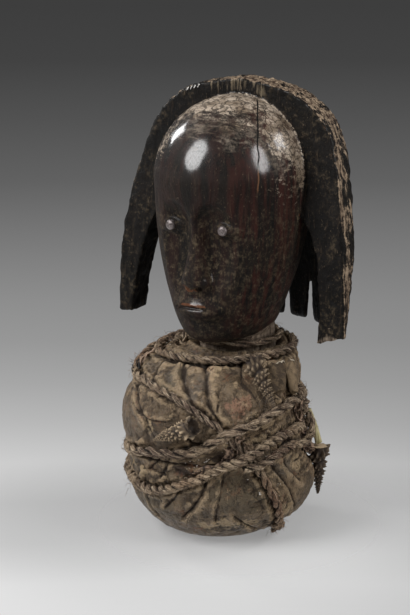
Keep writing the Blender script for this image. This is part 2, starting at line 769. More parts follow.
# Knife cuts across the front of the coiffure's left foot: height, tilt, depth
foot_cuts = [
    (321, 0.10, 0.9),
    (318, -0.22, 0.6),
    (270, 0.06, 0.9),
    (266, 0.30, 0.5),
    (292, -0.15, 0.4),
]
for cut_z, tilt, depth in foot_cuts:
    level = head_z - cut_z - tilt * (head_x - 130) - 1.5 * lump(head_points * (1, 1, 0), 9, 12)
    relief -= depth * front_left * np.exp(-(level / 1.1) ** 2) * ramp(head_x, 112, 118)
head_points = head_points + head_outward * relief[:, None]

wood = Finish("oiled_wood")
grain_place = wood.stretched(wood.place(), (1, 1, 0.07))
wood_grain = wood.noise(300, 5, 0.62, place=grain_place)
wood_coarse = wood.noise(110, 3, 0.6, place=grain_place)
wood_broad = wood.noise(48, 4, 0.6, stretch=(1, 1, 0.35))
wood_specks = wood.noise(620, 3, 0.6, stretch=(1, 1, 0.5))
wood_mottle = wood.noise(150, 5, 0.72)
streaks = wood.noise(230, 4, 0.62, stretch=(0.30, 0.45, 1.0), distortion=0.6)
crackle_place = wood.pushed_place(90.0, 0.014)
wide_cracks = wood.cell_edges(wood.stretched(crackle_place, (0.48, 0.52, 1.0)), 185.0)
fine_cracks = wood.cell_edges(wood.stretched(crackle_place, (0.60, 0.60, 1.0)), 400.0)
crust_mask = wood.painted("crust")
polish_mask = wood.painted("polish")

# The split runs down the crown along the grain and closes above the brow
spot = wood.node("SeparateXYZ", {}, {0: wood.place()})
spot_y, spot_z = spot.also("Y"), spot.also("Z")
wander = (wood.noise(60, 3, 0.6, stretch=(0, 0, 1)) - 0.5) * 0.006
from_split = wood.node("Math", {"operation": "ABSOLUTE"}, {
    0: spot * 0.866 + spot_y * 0.5 - 0.0405 + wander})
split = wood.band(from_split, 0.0004, 0.0011, 1, 0) * wood.band(spot_y, 0.02, 0.03, 1, 0)
split_low = split * wood.band(spot_z, 0.390, 0.396) * wood.band(spot_z, 0.412, 0.420, 1, 0)
split = split * wood.band(spot_z, 0.414, 0.424)

dusty = wood.band(wood_mottle * 0.7 + wood_specks * 0.3, 0.47, 0.62)
dark = wood.mix(wood.band(wood_broad, 0.36, 0.68), (0.0034, 0.0028, 0.0023), (0.0092, 0.0066, 0.0050))
dark = wood.layered(dark, [
    (wood.painted("hair") * 0.65, (0.0018, 0.0015, 0.0013)),
    (wood.painted("red") * wood.band(wood_coarse, 0.40, 0.66), (0.026, 0.0080, 0.0056)),
    (wood.band(wood_grain, 0.56, 0.74, 0, 0.45), (0.052, 0.034, 0.021)),
    (wood.painted("dust") * dusty, (0.062, 0.046, 0.028)),
    (wood.band(wood_mottle, 0.58, 0.70) * 0.28 * (1 - polish_mask), (0.092, 0.066, 0.044)),
    (wood.band(wood_specks, 0.64, 0.72) * 0.5, (0.130, 0.096, 0.064)),
])
rim_tone = wood.mix(wood.band(wood_grain * 0.6 + wood_mottle * 0.4, 0.42, 0.62),
                           (0.030, 0.017, 0.011), (0.235, 0.175, 0.120))
bare_tone = wood.mix(wood.band(wood_grain * 0.5 + wood_mottle * 0.5, 0.40, 0.60),
                            (0.065, 0.045, 0.032), (0.250, 0.195, 0.145))
crust_tone = wood.mix(wood.band(wood_broad, 0.36, 0.62), (0.150, 0.112, 0.078), (0.390, 0.320, 0.250))
crust_tone = wood.mix(wood.band(wood_mottle, 0.48, 0.34) * 0.7, crust_tone, (0.050, 0.034, 0.022))
# The crust thins out towards its edges, and cracks where it is thick
crust_share = wood.band(crust_mask + (streaks - 0.5) * 1.9 + (wood_specks - 0.5) * 0.8, 0.46, 0.88)
cracked = 1 - wood.band(wide_cracks + (wood_mottle - 0.5) * 0.22, 0.030, 0.125)
cracked = cracked + (1 - wood.band(fine_cracks + (wood_grain - 0.5) * 0.30, 0.010, 0.080)) * 0.45
cracked = wood.band(cracked, 0.0, 1.0) * wood.band(crust_mask, 0.85, 1.08, 1.0, 0.62)
streak_share = wood.band(
    wood.painted("streaked") + (wood_grain - 0.5) * 2.6 + (wood_mottle - 0.5), 0.92, 1.25)
veil_share = wood.band(
    wood.painted("veil") + (streaks - 0.5) * 2.6 + (wood_specks - 0.5), 0.55, 1.35)
crust_share = wood.greater(crust_share * (1 - cracked), streak_share * 0.8)
crust_share = wood.greater(crust_share, veil_share * 0.30)
rim_share = wood.band(
    wood.painted("rim") + (wood_grain - 0.5) * 1.3 + (wood_mottle - 0.5) * 1.5, 0.36, 0.72)
bare_share = wood.band(
    wood.painted("bare") + (wood_grain - 0.5) * 0.9 + (wood_broad - 0.5) * 0.8, 0.35, 0.70)
colour = wood.layered(dark, [
    (wood.ragged("edge", wood_broad, 1.2, 0.50, 0.90) * 0.45, (0.160, 0.055, 0.020)),
    (crust_share * 0.95, crust_tone),
    (bare_share, bare_tone),
    (wood.ragged("fibres", wood_grain, 3.6, 0.62, 1.30) * 0.85, (0.122, 0.096, 0.064)),
    (rim_share, rim_tone),
    (split_low * 0.55, (0.16, 0.075, 0.035)),
    (split, (0.002, 0.0015, 0.001)),
])
worn = wood.greater(rim_share, bare_share)
coat = polish_mask * wood.band(wood_specks, 0.30, 0.55, 0.6, 1.0)
coat = coat * (1 - crust_share * 0.5) * (1 - worn) * (1 - split)
wood.shade(
    Base_Color=colour,
    Roughness=0.52 + wood_specks * 0.40,
    Coat_Weight=coat,
    Coat_Roughness=0.165,
    Normal=wood.bump(
        wood_grain * 0.5 + wood_specks * 0.5 * (1 - polish_mask * 0.85) + crust_share * 0.4 - split * 1.5
        + (wood_coarse + wood_mottle) * (1 - polish_mask) * 1.5,
        0.0013, 0.85),
)
wood.shader.inputs["Specular IOR Level"].default_value = 0.14
head_mesh = mesh_from("carved_head", head_points, [head_quads], {
    "crust": crust,
    "bare": np.clip(neck_bare + 0.50 * foot_worn, 0, 1),
    "rim": np.clip(rim, 0, 1),
    "edge": edge_worn * (1 - outer_side) * (1 - on_nape),
    "streaked": streaked,
    "veil": veil,
    "fibres": np.clip((0.85 + 0.35 * blotch) * top_fibres * faces_front, 0, 1),
    "hair": on_crest + on_nape,
    "polish": np.clip(polish, 0, 1),
    "red": np.clip(on_head * (0.35 + ramp(from_middle, 0.3, 0.8)), 0, 1),
    "dust": np.clip(on_head * ramp(eye_z + 30 - head_z, 0, 24) * (0.5 + 0.5 * ramp(cavity_wide, 0, 3))
                    + (on_crest + on_nape) * (0.13 + 0.45 * blotch)
                    + 0.35 * on_crest * ramp(0.24 - crest_share, 0, 0.16), 0, 1),
})

carved = make_object("head_carving", head_mesh, wood)
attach(carved, "root")
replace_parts(carved, "carved_head")


# Relic packet
# Bones and charms wrapped in a raw skin, drawn in round the neck and lashed while it was wet. It dried
# in folds that run to the ropes, dark and smooth where it is taut, rubbed and pale where it stands out.

packet_height = packet_top
packet_radius = 102
# height share, radius share
packet_profile = [
    (0.00, 0.49),
    (0.02, 0.60),
    (0.08, 0.75),
    (0.17, 0.89),
    (0.28, 0.97),
    (0.48, 0.99),
    (0.64, 1.00),
    (0.76, 0.97),
    (0.86, 0.88),
    (0.94, 0.70),
    (1.00, 0.50),
]
# angle, height share, angular spread, height spread, rise
packet_lumps = [
    (30, 0.44, 50, 0.07, -8),
    (20, 0.20, 50, 0.14, 9),
    (25, 0.66, 40, 0.16, -16),
    (30, 0.88, 45, 0.08, -4),
    (205, 0.80, 45, 0.05, -3),
    (205, 0.62, 55, 0.14, 3),
    (200, 0.93, 35, 0.07, 11),
    (208, 0.45, 45, 0.06, -6),
    (212, 0.30, 45, 0.06, -6),
    (300, 0.30, 60, 0.15, 3),
    (120, 0.45, 50, 0.08, -5),
    (95, 0.65, 60, 0.15, 4),
]


def swell(distance, spread):
    return np.exp(-((distance / spread) ** 2))


def turn_between(a, b):
    return np.abs((a - b + 540) % 360 - 180)


def packet_reach(angle, z):
    share = z / packet_height
    reach = curve(packet_profile, share) * packet_radius
    for lump_angle, lump_share, angle_spread, share_spread, rise in packet_lumps:
        reach = reach + rise * swell(turn_between(angle, lump_angle), angle_spread) * swell(
            share - lump_share, share_spread)
    return reach


def packet_spot(angle, z, lift=None):
    lean = ramp(z / packet_height, 0.78, 1)
    turn = np.radians(angle)
    reach = packet_reach(angle, z)
    spot = np.stack([neck_axis[0] * lean + reach * np.cos(turn),
                     neck_axis[1] * lean + reach * np.sin(turn), z + 0 * reach], axis=-1)
    return spot if lift is None else spot + np.asarray(lift)[..., None] * packet_outward(angle, z)


def packet_outward(angle, z):
    along = packet_spot(angle + 2, z) - packet_spot(angle - 2, z)
    upward = packet_spot(angle, np.minimum(z + 2, packet_height)) - packet_spot(angle, np.maximum(z - 2, 0))
    return unit(np.cross(along, upward))


def at_packet(angle, share):
    """A spot on the packet by its angle and height share, and the direction outwards there."""
    angle, z = np.array(angle), np.array(share * packet_height)
    return packet_spot(angle, z), packet_outward(angle, z)


def spline(knots, closed, step):
    """Evenly spaced points on a smooth curve through the knots."""
    knots = np.array(knots, float)
    if closed:
        knots = np.vstack([knots[-1:], knots, knots[:2]])
    else:
        knots = np.vstack([2 * knots[0] - knots[1], knots, 2 * knots[-1] - knots[-2]])
    fine = []
    u = np.linspace(0, 1, 24, endpoint=False)[:, None]
    for p0, p1, p2, p3 in zip(knots, knots[1:], knots[2:], knots[3:]):
        d0, d1, d2 = (np.sqrt(np.linalg.norm(b - a)) for a, b in ((p0, p1), (p1, p2), (p2, p3)))
        start = ((p1 - p0) / d0 - (p2 - p0) / (d0 + d1) + (p2 - p1) / d1) * d1
        end = ((p2 - p1) / d1 - (p3 - p1) / (d1 + d2) + (p3 - p2) / d2) * d1
        fine.append(p1 + start * u + (3 * (p2 - p1) - 2 * start - end) * u ** 2
                    + (2 * (p1 - p2) + start + end) * u ** 3)
    fine = np.concatenate(fine + [knots[-2:-1]])
    run = np.r_[0, np.cumsum(np.linalg.norm(np.diff(fine, axis=0), axis=1))]
    count = math.ceil(run[-1] / step)
    places = np.linspace(0, run[-1], count + 1)
    spots = np.stack([np.interp(places, run, fine[:, k]) for k in range(3)], axis=1)
    return spots[:-1] if closed else spots


# Routes of the ropes: packet angle and height share at each bend
collar_route = [
    (216, 0.935), (236, 0.940), (256, 0.947), (272, 0.950), (283, 0.955), (296, 0.960), (312, 0.965),
    (335, 0.970), (0, 0.970), (30, 0.970), (60, 0.970), (95, 0.970), (130, 0.965), (165, 0.955), (195, 0.943),
]
diagonal_route = [
    (187, 0.915), (197, 0.895), (208, 0.865), (217, 0.845), (229, 0.843), (245, 0.840), (261, 0.826),
    (273, 0.809), (281, 0.790), (291, 0.745), (302, 0.685), (310, 0.602), (319, 0.511), (326, 0.420),
    (331, 0.331), (337, 0.236), (344, 0.130), (349, 0.062),
]
lower_route = [
    (220, 0.318), (233, 0.303), (252, 0.305), (267, 0.338), (282, 0.393), (292, 0.433), (298, 0.477),
    (308, 0.525), (319, 0.573), (333, 0.603), (350, 0.614), (8, 0.590), (30, 0.560), (60, 0.500),
    (90, 0.440), (120, 0.390), (150, 0.360), (185, 0.335),
]
waist_route = [
    (211, 0.450), (236, 0.491), (253, 0.523), (265, 0.536), (276, 0.545), (289, 0.585), (302, 0.664),
    (310, 0.694), (319, 0.702), (327, 0.724), (338, 0.746), (359, 0.768), (17, 0.750), (40, 0.720),
    (70, 0.660), (100, 0.580), (130, 0.500), (160, 0.440), (185, 0.430),
]
strand_route = [
    (313, 0.490), (325, 0.510), (335, 0.531), (348, 0.540), (4, 0.524), (13, 0.545), (15, 0.590),
    (14, 0.640), (12, 0.690),
]
rope_radius = 4.6
rope_gap = 0.8
rope_step = 3
laid = []
rope_paths = {}


def lay_rope(name, route, closed):
    """Draws a rope round the packet and over every rope laid before it."""
    spots = spline([at_packet(angle, share)[0] for angle, share in route], closed, rope_step)
    lean = ramp(spots[:, 2] / packet_height, 0.78, 1)[:, None] * neck_axis
    angles = np.degrees(np.arctan2(spots[:, 1] - lean[:, 1], spots[:, 0] - lean[:, 0]))
    feet = packet_spot(angles, spots[:, 2])
    outward = packet_outward(angles, spots[:, 2])
    lifts = np.full(len(feet), rope_radius + rope_gap)
    apart = 2 * rope_radius + rope_gap
    for under_feet, under_lifts in laid:
        offset = under_feet[None] - feet[:, None]
        above = (offset * outward[:, None]).sum(axis=2)
        across = (offset ** 2).sum(axis=2) - above ** 2
        meets = (across <= apart ** 2) & (np.abs(above) <= 2 * apart)
        lift = np.where(meets, under_lifts + above + np.sqrt(np.maximum(apart ** 2 - across, 0)), 0)
        lifts = np.maximum(lifts, lift.max(axis=1))
    for gather in (np.max, np.mean):
        pad = np.pad(lifts, 5, mode="wrap" if closed else "edge")
        lifts = gather(np.lib.stride_tricks.sliding_window_view(pad, 11), axis=1)
    laid.append((feet, lifts))
    rope_paths[name] = spline((feet + outward * lifts[:, None])[::4], closed, rope_step), closed


lay_rope("rope_collar", collar_route, True)
lay_rope("rope_diagonal", diagonal_route, False)
lay_rope("rope_lower", lower_route, True)
lay_rope("rope_waist", waist_route, True)
lay_rope("rope_strand", strand_route, False)

columns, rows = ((440, 200))
column_angle = np.arange(columns) * 360 / columns
row_share = np.linspace(0, 1, rows)
row_z = packet_height * (0.75 * row_share + 0.25 * ramp(row_share, 0, 1))
packet_angle, packet_z = np.meshgrid(column_angle, row_z)
packet_share = packet_z / packet_height
hide_points = packet_spot(packet_angle, packet_z)
hide_outward = packet_outward(packet_angle, packet_z)

# Distance to the nearest rope, and how far along it
rope_distance = np.full(packet_z.shape, 99.0)
rope_along = np.zeros(packet_z.shape)
rope_side = np.zeros(packet_z.shape)
for order, (path, closed) in enumerate(rope_paths.values()):
    for i, spot in enumerate(path):
        offset = hide_points - spot
        distance = np.sqrt((offset ** 2).sum(axis=2))
        nearer = distance < rope_distance
        rope_distance[nearer] = distance[nearer]
        rope_along[nearer] = rope_step * i + 700 * order
        rope_side[nearer] = np.sign(offset[..., 2])[nearer]
# The turn under the neck's flare, laid later: its height over the packet and its radius
neck_turn_lift = 8.3
neck_turn_reach = 49
neck_turn_near = np.hypot(packet_height + neck_turn_lift - packet_z, np.hypot(
    hide_points[..., 0] - neck_axis[0], hide_points[..., 1] - neck_axis[1]) - neck_turn_reach)
rope_distance = np.minimum(rope_distance, neck_turn_near)


def fold_distance(route):
    """Distance over the packet from a line of angle and height share, and the side it is on."""
    nearest = np.full(packet_z.shape, 99.0)
    side = np.zeros(packet_z.shape)
    scale = np.array([packet_radius * math.pi / 180, packet_height])
    for a, b in zip(route, route[1:]):
        a, b = np.array(a) * scale, np.array(b) * scale
        turned = (packet_angle - route[0][0] + 540) % 360 - 180 + route[0][0]
        px, pz = turned * scale[0] - a[0], packet_z - a[1]
        ex, ez = b - a
        t = np.clip((px * ex + pz * ez) / (ex * ex + ez * ez), 0, 1)
        distance = np.hypot(px - t * ex, pz - t * ez)
        nearer = distance < nearest
        nearest[nearer] = distance[nearer]
        side[nearer] = np.sign(px * ez - pz * ex)[nearer]
    return nearest, side


# Folds: depth, width, height of the lip beside it (below zero: on the other side), route
folds = [
    (2.6, 2.2, 1.8, [(234, 0.927), (257, 0.941), (272, 0.941), (289, 0.954)]),
    (2.8, 2.4, -2.2, [(232, 0.932), (232, 0.907), (238, 0.877), (245, 0.850), (250, 0.835)]),
    (3.2, 2.4, 2.6, [(254, 0.930), (262, 0.900), (273, 0.858), (279, 0.830), (285, 0.791), (291, 0.765),
                     (297, 0.716)]),
    (3.0, 2.6, -2.4, [(274, 0.938), (281, 0.906), (288, 0.859), (293, 0.812), (297, 0.767), (301, 0.716)]),
    (1.8, 1.8, 1.2, [(296, 0.849), (299, 0.817), (299, 0.776)]),
    (2.4, 2.2, -1.8, [(304, 0.955), (309, 0.892), (319, 0.855), (326, 0.805)]),
    (2.8, 2.8, 2.2, [(229, 0.812), (241, 0.741), (250, 0.691), (254, 0.636), (258, 0.590)]),
    (2.0, 1.8, 1.4, [(264, 0.515), (258, 0.465), (252, 0.416)]),
    (1.8, 1.6, -1.2, [(269, 0.512), (266, 0.446), (262, 0.390)]),
    (2.2, 2.2, 1.6, [(277, 0.640), (284, 0.610), (294, 0.600), (303, 0.630)]),
    (1.6, 1.8, 1.2, [(263, 0.655), (272, 0.690), (280, 0.735), (284, 0.770)]),
    (1.5, 1.6, 1.0, [(243, 0.560), (249, 0.600), (252, 0.650)]),
    (2.4, 2.6, -1.6, [(292, 0.395), (290, 0.330), (284, 0.250), (276, 0.180)]),
    (1.8, 2.0, 1.2, [(278, 0.370), (273, 0.300), (264, 0.220)]),
    (2.0, 2.4, 1.4, [(246, 0.290), (247, 0.220), (252, 0.140)]),
    (2.6, 2.4, 1.8, [(338, 0.575), (344, 0.480), (350, 0.400), (358, 0.330)]),
    (2.2, 2.2, -1.6, [(348, 0.590), (356, 0.500), (4, 0.420)]),
    (2.2, 2.2, 1.6, [(334, 0.470), (343, 0.360), (350, 0.250), (356, 0.160)]),
    (1.6, 2.0, 1.0, [(310, 0.200), (318, 0.140), (330, 0.090)]),
    (1.3, 1.7, 1.2, [(303, 0.445), (301, 0.340), (299, 0.250), (298, 0.170)]),
    (1.3, 1.2, 1.2, [(16, 0.500), (8, 0.400), (358, 0.300), (348, 0.220)]),
    (1.3, 1.2, 1.2, [(8, 0.510), (0, 0.420), (352, 0.330), (344, 0.250)]),
    (1.1, 1.1, 1.0, [(0, 0.530), (353, 0.440), (346, 0.360)]),
    (1.2, 1.2, 1.1, [(12, 0.470), (4, 0.360), (352, 0.260), (343, 0.190)]),
    (1.4, 1.3, 1.2, [(256, 0.640), (264, 0.610), (274, 0.600)]),
    (1.5, 1.3, -1.2, [(236, 0.740), (246, 0.700), (256, 0.690), (266, 0.700)]),
    (1.3, 1.2, 1.1, [(222, 0.300), (228, 0.380), (230, 0.450)]),
    (1.6, 1.4, 1.3, [(238, 0.350), (246, 0.400), (254, 0.420), (266, 0.410)]),
    (2.4, 2.4, 1.6, [(330, 0.930), (336, 0.860), (345, 0.800)]),
    (2.4, 2.4, -1.6, [(20, 0.930), (30, 0.820), (36, 0.740)]),
    (2.4, 2.6, 1.6, [(60, 0.940), (70, 0.820), (84, 0.700)]),
    (2.4, 2.6, -1.6, [(100, 0.930), (112, 0.780), (116, 0.640)]),
    (2.4, 2.6, 1.6, [(150, 0.930), (148, 0.780), (140, 0.560)]),
    (2.6, 2.6, 1.8, [(186, 0.860), (176, 0.740), (170, 0.500)]),
    (2.4, 2.6, -1.6, [(40, 0.520), (48, 0.360), (52, 0.180)]),
    (2.4, 2.6, 1.6, [(90, 0.400), (94, 0.260), (90, 0.120)]),
    (2.4, 2.6, -1.6, [(150, 0.330), (146, 0.220), (150, 0.110)]),
    (2.4, 2.6, 1.6, [(200, 0.300), (205, 0.200), (200, 0.100)]),
]
crease = np.zeros(packet_z.shape)
lips = np.zeros(packet_z.shape)
hide_relief = np.zeros(packet_z.shape)
for depth, width, lip, route in folds:
    distance, side = fold_distance(route)
    distance = distance + 0.8 * lump(hide_points, 9, 20)
    hide_relief -= 1.15 * depth * swell(distance, 0.62 * width)
    lip_side = ramp(side * np.sign(lip), -0.5, 0.5)
    hide_relief += abs(lip) * swell(distance - 2.2 * width, 1.6 * width) * lip_side
    crease = np.maximum(crease, swell(distance, width * 0.48))
    lips = np.maximum(lips, swell(distance - 1.5 * width, 0.6 * width) * (0.4 + 0.6 * (side * lip > 0)))

near_rope = ramp(32 - rope_distance, 0, 26)
pleat_place = np.stack([rope_along + 40 * rope_side, rope_distance * rope_side, 0 * rope_along], axis=-1)
pleats = lump(pleat_place, [7.5, 34, 9], 21) + 0.6 * lump(pleat_place, [3.4, 20, 9], 22)
sharp_pleats = (1 - np.abs(lump(pleat_place, [6, 30, 9], 29))) ** 3
at_neck = ramp(packet_share, 0.86, 1)
gathers = 1.4 * lump(np.stack([packet_angle, 22 * packet_share, 0 * packet_angle], axis=-1), [5.5, 9, 9], 24)
billow = ramp(rope_distance, 5, 22) * (1 - 0.6 * at_neck)
hide_relief += (
    1.6 * billow
    - 1.2 * swell(rope_distance - 3, 3)
    + 2.6 * swell(rope_distance - 10.5, 3.2)
    + 1.35 * near_rope * pleats * (1 - at_neck)
    - 1.3 * near_rope * sharp_pleats * (1 - at_neck)
    + 1.7 * at_neck * gathers * ramp(1.02 - packet_share, 0, 0.05)
    + 1.5 * lump(hide_points, [24, 24, 20], 25)
    + 0.8 * lump(hide_points, [10, 10, 8], 26)
    + 0.45 * lump(hide_points, [4.2, 4.2, 3.4], 27)
    - 0.9 * (1 - np.abs(lump(hide_points, [12, 12, 9], 19))) ** 5
)
# The shells, the flap and the roll lie in dents of the hide: half width, line
dents = [
    (17, [(313, 0.930), (332, 0.800)]),
    (17, [(287, 0.715), (257, 0.590)]),
    (14, [(330, 0.885), (345, 0.885)]),
    (9, [(351, 0.930), (354, 0.810)]),
]
for width, route in dents:
    pressed = ramp(width - fold_distance(route)[0], 0, 7)
    hide_relief = hide_relief * (1 - pressed) + np.minimum(hide_relief, -1.2) * pressed
hide_relief *= ramp(packet_z, 0, 14)


def smoothed(values, reach):
    for axis, mode in ((1, "wrap"), (0, "edge")):
        wider = np.pad(values, [(reach, reach) if k == axis else (0, 0) for k in (0, 1)], mode=mode)
        values = np.lib.stride_tricks.sliding_window_view(wider, 2 * reach + 1, axis=axis).mean(axis=-1)
    return values


stands_out = hide_relief - smoothed(hide_relief, max(columns // 80, 2))
hide_points = hide_points + hide_outward * hide_relief[..., None]
hide_points[..., 2] = np.clip(hide_points[..., 2], 0, packet_height + 6)
socket = neck_radius + 3.4
over_neck = np.hypot(hide_points[..., 0] - neck_axis[0], hide_points[..., 1] - neck_axis[1])
tucked = np.maximum(over_neck, socket) / np.maximum(over_neck, 1e-6)
is_high = packet_z > packet_height - 30
for k in range(2):
    hide_points[..., k] = np.where(is_high, neck_axis[k] + (hide_points[..., k] - neck_axis[k]) * tucked,
                                   hide_points[..., k])

turn = np.radians(column_angle)


def neck_ring(radius, z):
    return np.stack([neck_axis[0] + radius * np.cos(turn), neck_axis[1] + radius * np.sin(turn),
                     z + 0 * turn], axis=-1)


underside = hide_points[0]
rings_below = [underside * (share, share, 1) for share in (0.004, 0.35, 0.7)]
rings_above = [
    neck_ring(socket, packet_height - 3),
    neck_ring(socket, packet_height - 19),
    neck_ring(socket * 0.5, packet_height - 20.5),
    neck_ring(0.2, packet_height - 20.5),
]
rings = [*rings_below, *hide_points, *rings_above]


def ring_faces(ring_count, around):
    """Squares between closed rings of points, with one many-sided face at each end."""
    first = (np.arange(ring_count - 1)[:, None] * around + np.arange(around)).ravel()
    step = np.where((first + 1) % around, 1, 1 - around)
    squares = np.stack([first, first + step, first + step + around, first + around], axis=1)
    ends = [np.arange(around)[None, ::-1], (ring_count - 1) * around + np.arange(around)[None]]
    return [squares, *ends]


def mask_rings(values):
    """A mask's values on all of the packet's rings, with those of the underside and of the neck's socket."""
    below = np.repeat(values[:1], len(rings_below), axis=0)
    above = np.repeat(values[-1:], len(rings_above), axis=0)
    return np.concatenate([below, values, above]).ravel()


def patches(*rows):
    """Ragged patches on the packet: strength, angle, height share, spread of both, seed."""
    strongest = 0
    for strength, angle, share, angle_spread, share_spread, seed in rows:
        across = turn_between(packet_angle, angle) / angle_spread
        up = (packet_share - share) / share_spread
        ragged = 0.35 * lump(hide_points, [9, 9, 6], seed) + 0.2 * lump(hide_points, [3, 3, 3], seed + 1)
        strongest = np.maximum(strongest, strength * ramp(1 - np.hypot(across, up) + ragged, 0, 0.35))
    return strongest


wrinkled = 1 - np.abs(lump(hide_points, [12, 12, 9], 19))
hide_masks = {
    "crease": np.clip(crease + 0.9 * swell(rope_distance - 3, 3.5) + 0.7 * near_rope * sharp_pleats ** 3
                      + 0.6 * wrinkled ** 8, 0, 1),
    "high": 0.5 * ramp(hide_relief, -1.5, 2.5) + 0.5 * ramp(stands_out, 0.1, 1.1),
    "sunk": ramp(-stands_out, 0.15, 1.2),
    "lips": (np.maximum(lips, 0.6 * swell(rope_distance - 9.5, 1.6))
             * (0.6 + 0.5 * lump(hide_points, [6, 6, 6], 33))),
    "rubbed": patches(
        (1.0, 312, 0.798, 11, 0.075, 30),
        (0.6, 240, 0.690, 9, 0.120, 32),
        (0.7, 300, 0.620, 12, 0.030, 34),
        (0.5, 264, 0.760, 8, 0.060, 36),
        (0.8, 300, 0.140, 14, 0.030, 66),
        (0.6, 120, 0.700, 22, 0.120, 38),
        (0.6, 30, 0.300, 22, 0.120, 40),
    ),
    "greyed": patches(
        (1.0, 280, 0.850, 6, 0.100, 42),
        (0.8, 262, 0.600, 14, 0.050, 44),
        (0.7, 345, 0.450, 14, 0.100, 46),
        (0.6, 170, 0.600, 26, 0.160, 48),
    ),
    "olive": patches(
        (1.0, 312, 0.345, 22, 0.140, 50),
        (1.0, 257, 0.880, 10, 0.060, 52),
        (0.8, 250, 0.230, 26, 0.110, 54),
        (0.7, 75, 0.560, 30, 0.150, 56),
    ),
    "tawny": patches(
        (1.0, 307, 0.140, 22, 0.045, 68),
        (0.9, 318, 0.155, 9, 0.020, 69),
        (1.0, 247, 0.383, 5, 0.035, 71),
        (1.0, 254, 0.655, 3, 0.060, 72),
        (0.8, 229, 0.410, 5, 0.025, 73),
        (0.8, 346, 0.213, 6, 0.035, 74),
        (0.8, 2, 0.420, 10, 0.050, 75),
        (0.7, 286, 0.920, 4, 0.030, 76),
        (0.8, 330, 0.620, 12, 0.030, 77),
        (0.8, 120, 0.300, 20, 0.080, 78),
    ),
    "stained": patches(
        (1.0, 301, 0.530, 6, 0.030, 58),
        (1.0, 277, 0.450, 7, 0.028, 60),
        (0.7, 352, 0.560, 9, 0.050, 62),
        (0.6, 309, 0.120, 16, 0.040, 64),
    ),
}
hide_mesh = mesh_from("relic_packet", np.concatenate(rings), ring_faces(len(rings), columns),
                      {name: mask_rings(values) for name, values in hide_masks.items()})

skin = Finish("dried_hide")
hide_broad = skin.noise(20, 4, 0.6)
hide_blotch = skin.noise(55, 6, 0.68)
hide_fine = skin.noise(190, 6, 0.70)
hide_pores = skin.noise(1100, 2, 0.5)
hide_scuffs = skin.noise(85, 5, 0.72, stretch=(1, 1, 0.28), distortion=0.8)
crinkle = skin.cell_edges(skin.place(), 260.0)
wrinkle_place = skin.pushed_place(60.0, 0.022)
wrinkles = (skin.band(skin.cell_edges(wrinkle_place, 62.0), 0.0, 0.045, 0.9, 0)
            + skin.band(skin.cell_edges(wrinkle_place, 165.0), 0.0, 0.070, 0.8, 0))
wrinkles = wrinkles * skin.band(hide_scuffs, 0.42, 0.58)
crease_share = skin.ragged("crease", hide_fine, 0.8, 0.42, 0.96)
rust_share = skin.band(skin.noise(34, 5, 0.7), 0.56, 0.68) * skin.band(hide_fine, 0.42, 0.58)
tone = skin.mix(skin.band(hide_blotch, 0.36, 0.66), (0.062, 0.040, 0.022), (0.192, 0.134, 0.080))
tone = skin.layered(tone, [
    (skin.band(hide_broad, 0.42, 0.62) * 0.55, (0.086, 0.062, 0.037)),
    (skin.painted("olive") * 0.75, (0.094, 0.072, 0.044)),
    (skin.painted("greyed") * 0.6, (0.074, 0.062, 0.050)),
    (skin.ragged("rubbed", hide_fine, 3.0, 0.60, 1.20) * 0.75, (0.235, 0.125, 0.078)),
    (skin.ragged("tawny", hide_fine, 2.2, 0.38, 0.85) * 0.75, (0.345, 0.256, 0.150)),
    (skin.ragged("sunk", hide_fine, 1.2, 0.30, 0.95) * 0.70, (0.034, 0.022, 0.014)),
    (skin.ragged("high", hide_scuffs, 1.8, 0.55, 1.00) * 0.65, (0.320, 0.232, 0.140)),
    (skin.ragged("lips", hide_fine, 1.4, 0.42, 0.80) * 0.55, (0.400, 0.290, 0.180)),
    (skin.band(hide_fine, 0.53, 0.70) * 0.65, (0.034, 0.023, 0.015)),
    (skin.band(hide_scuffs, 0.58, 0.70) * 0.55, (0.320, 0.228, 0.136)),
    (skin.ragged("stained", hide_fine, 1.2, 0.40, 0.70) * 0.85, (0.018, 0.010, 0.007)),
    (crease_share * 0.92, (0.020, 0.012, 0.007)),
    (skin.band(wrinkles, 0.0, 1.0) * 0.75, (0.026, 0.017, 0.011)),
    (rust_share * 0.45, (0.210, 0.085, 0.040)),
])
skin.shade(
    Base_Color=tone,
    Roughness=skin.band(hide_fine, 0.3, 0.7, 0.40, 0.64) + crease_share * 0.3,
    Normal=skin.bump(
        hide_fine * 0.9 + hide_blotch * 1.2 + hide_pores * 0.25 + skin.band(crinkle, 0.0, 0.12) * 0.30
        - wrinkles * 0.8,
        0.0019, 0.9),
)
skin.shader.inputs["Specular IOR Level"].default_value = 0.35
packet = make_object("relic_packet", hide_mesh, skin)
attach(packet, "root")
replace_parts(packet, "relic_bundle")


# Ropes
# Cord of two strands of twisted bark fibre, wound round the packet in this order: one turn under the
# neck's flare and one on the shoulder, one slanting down the front, and two round the belly. A short
# strand runs from the crossing to the hanging shell.

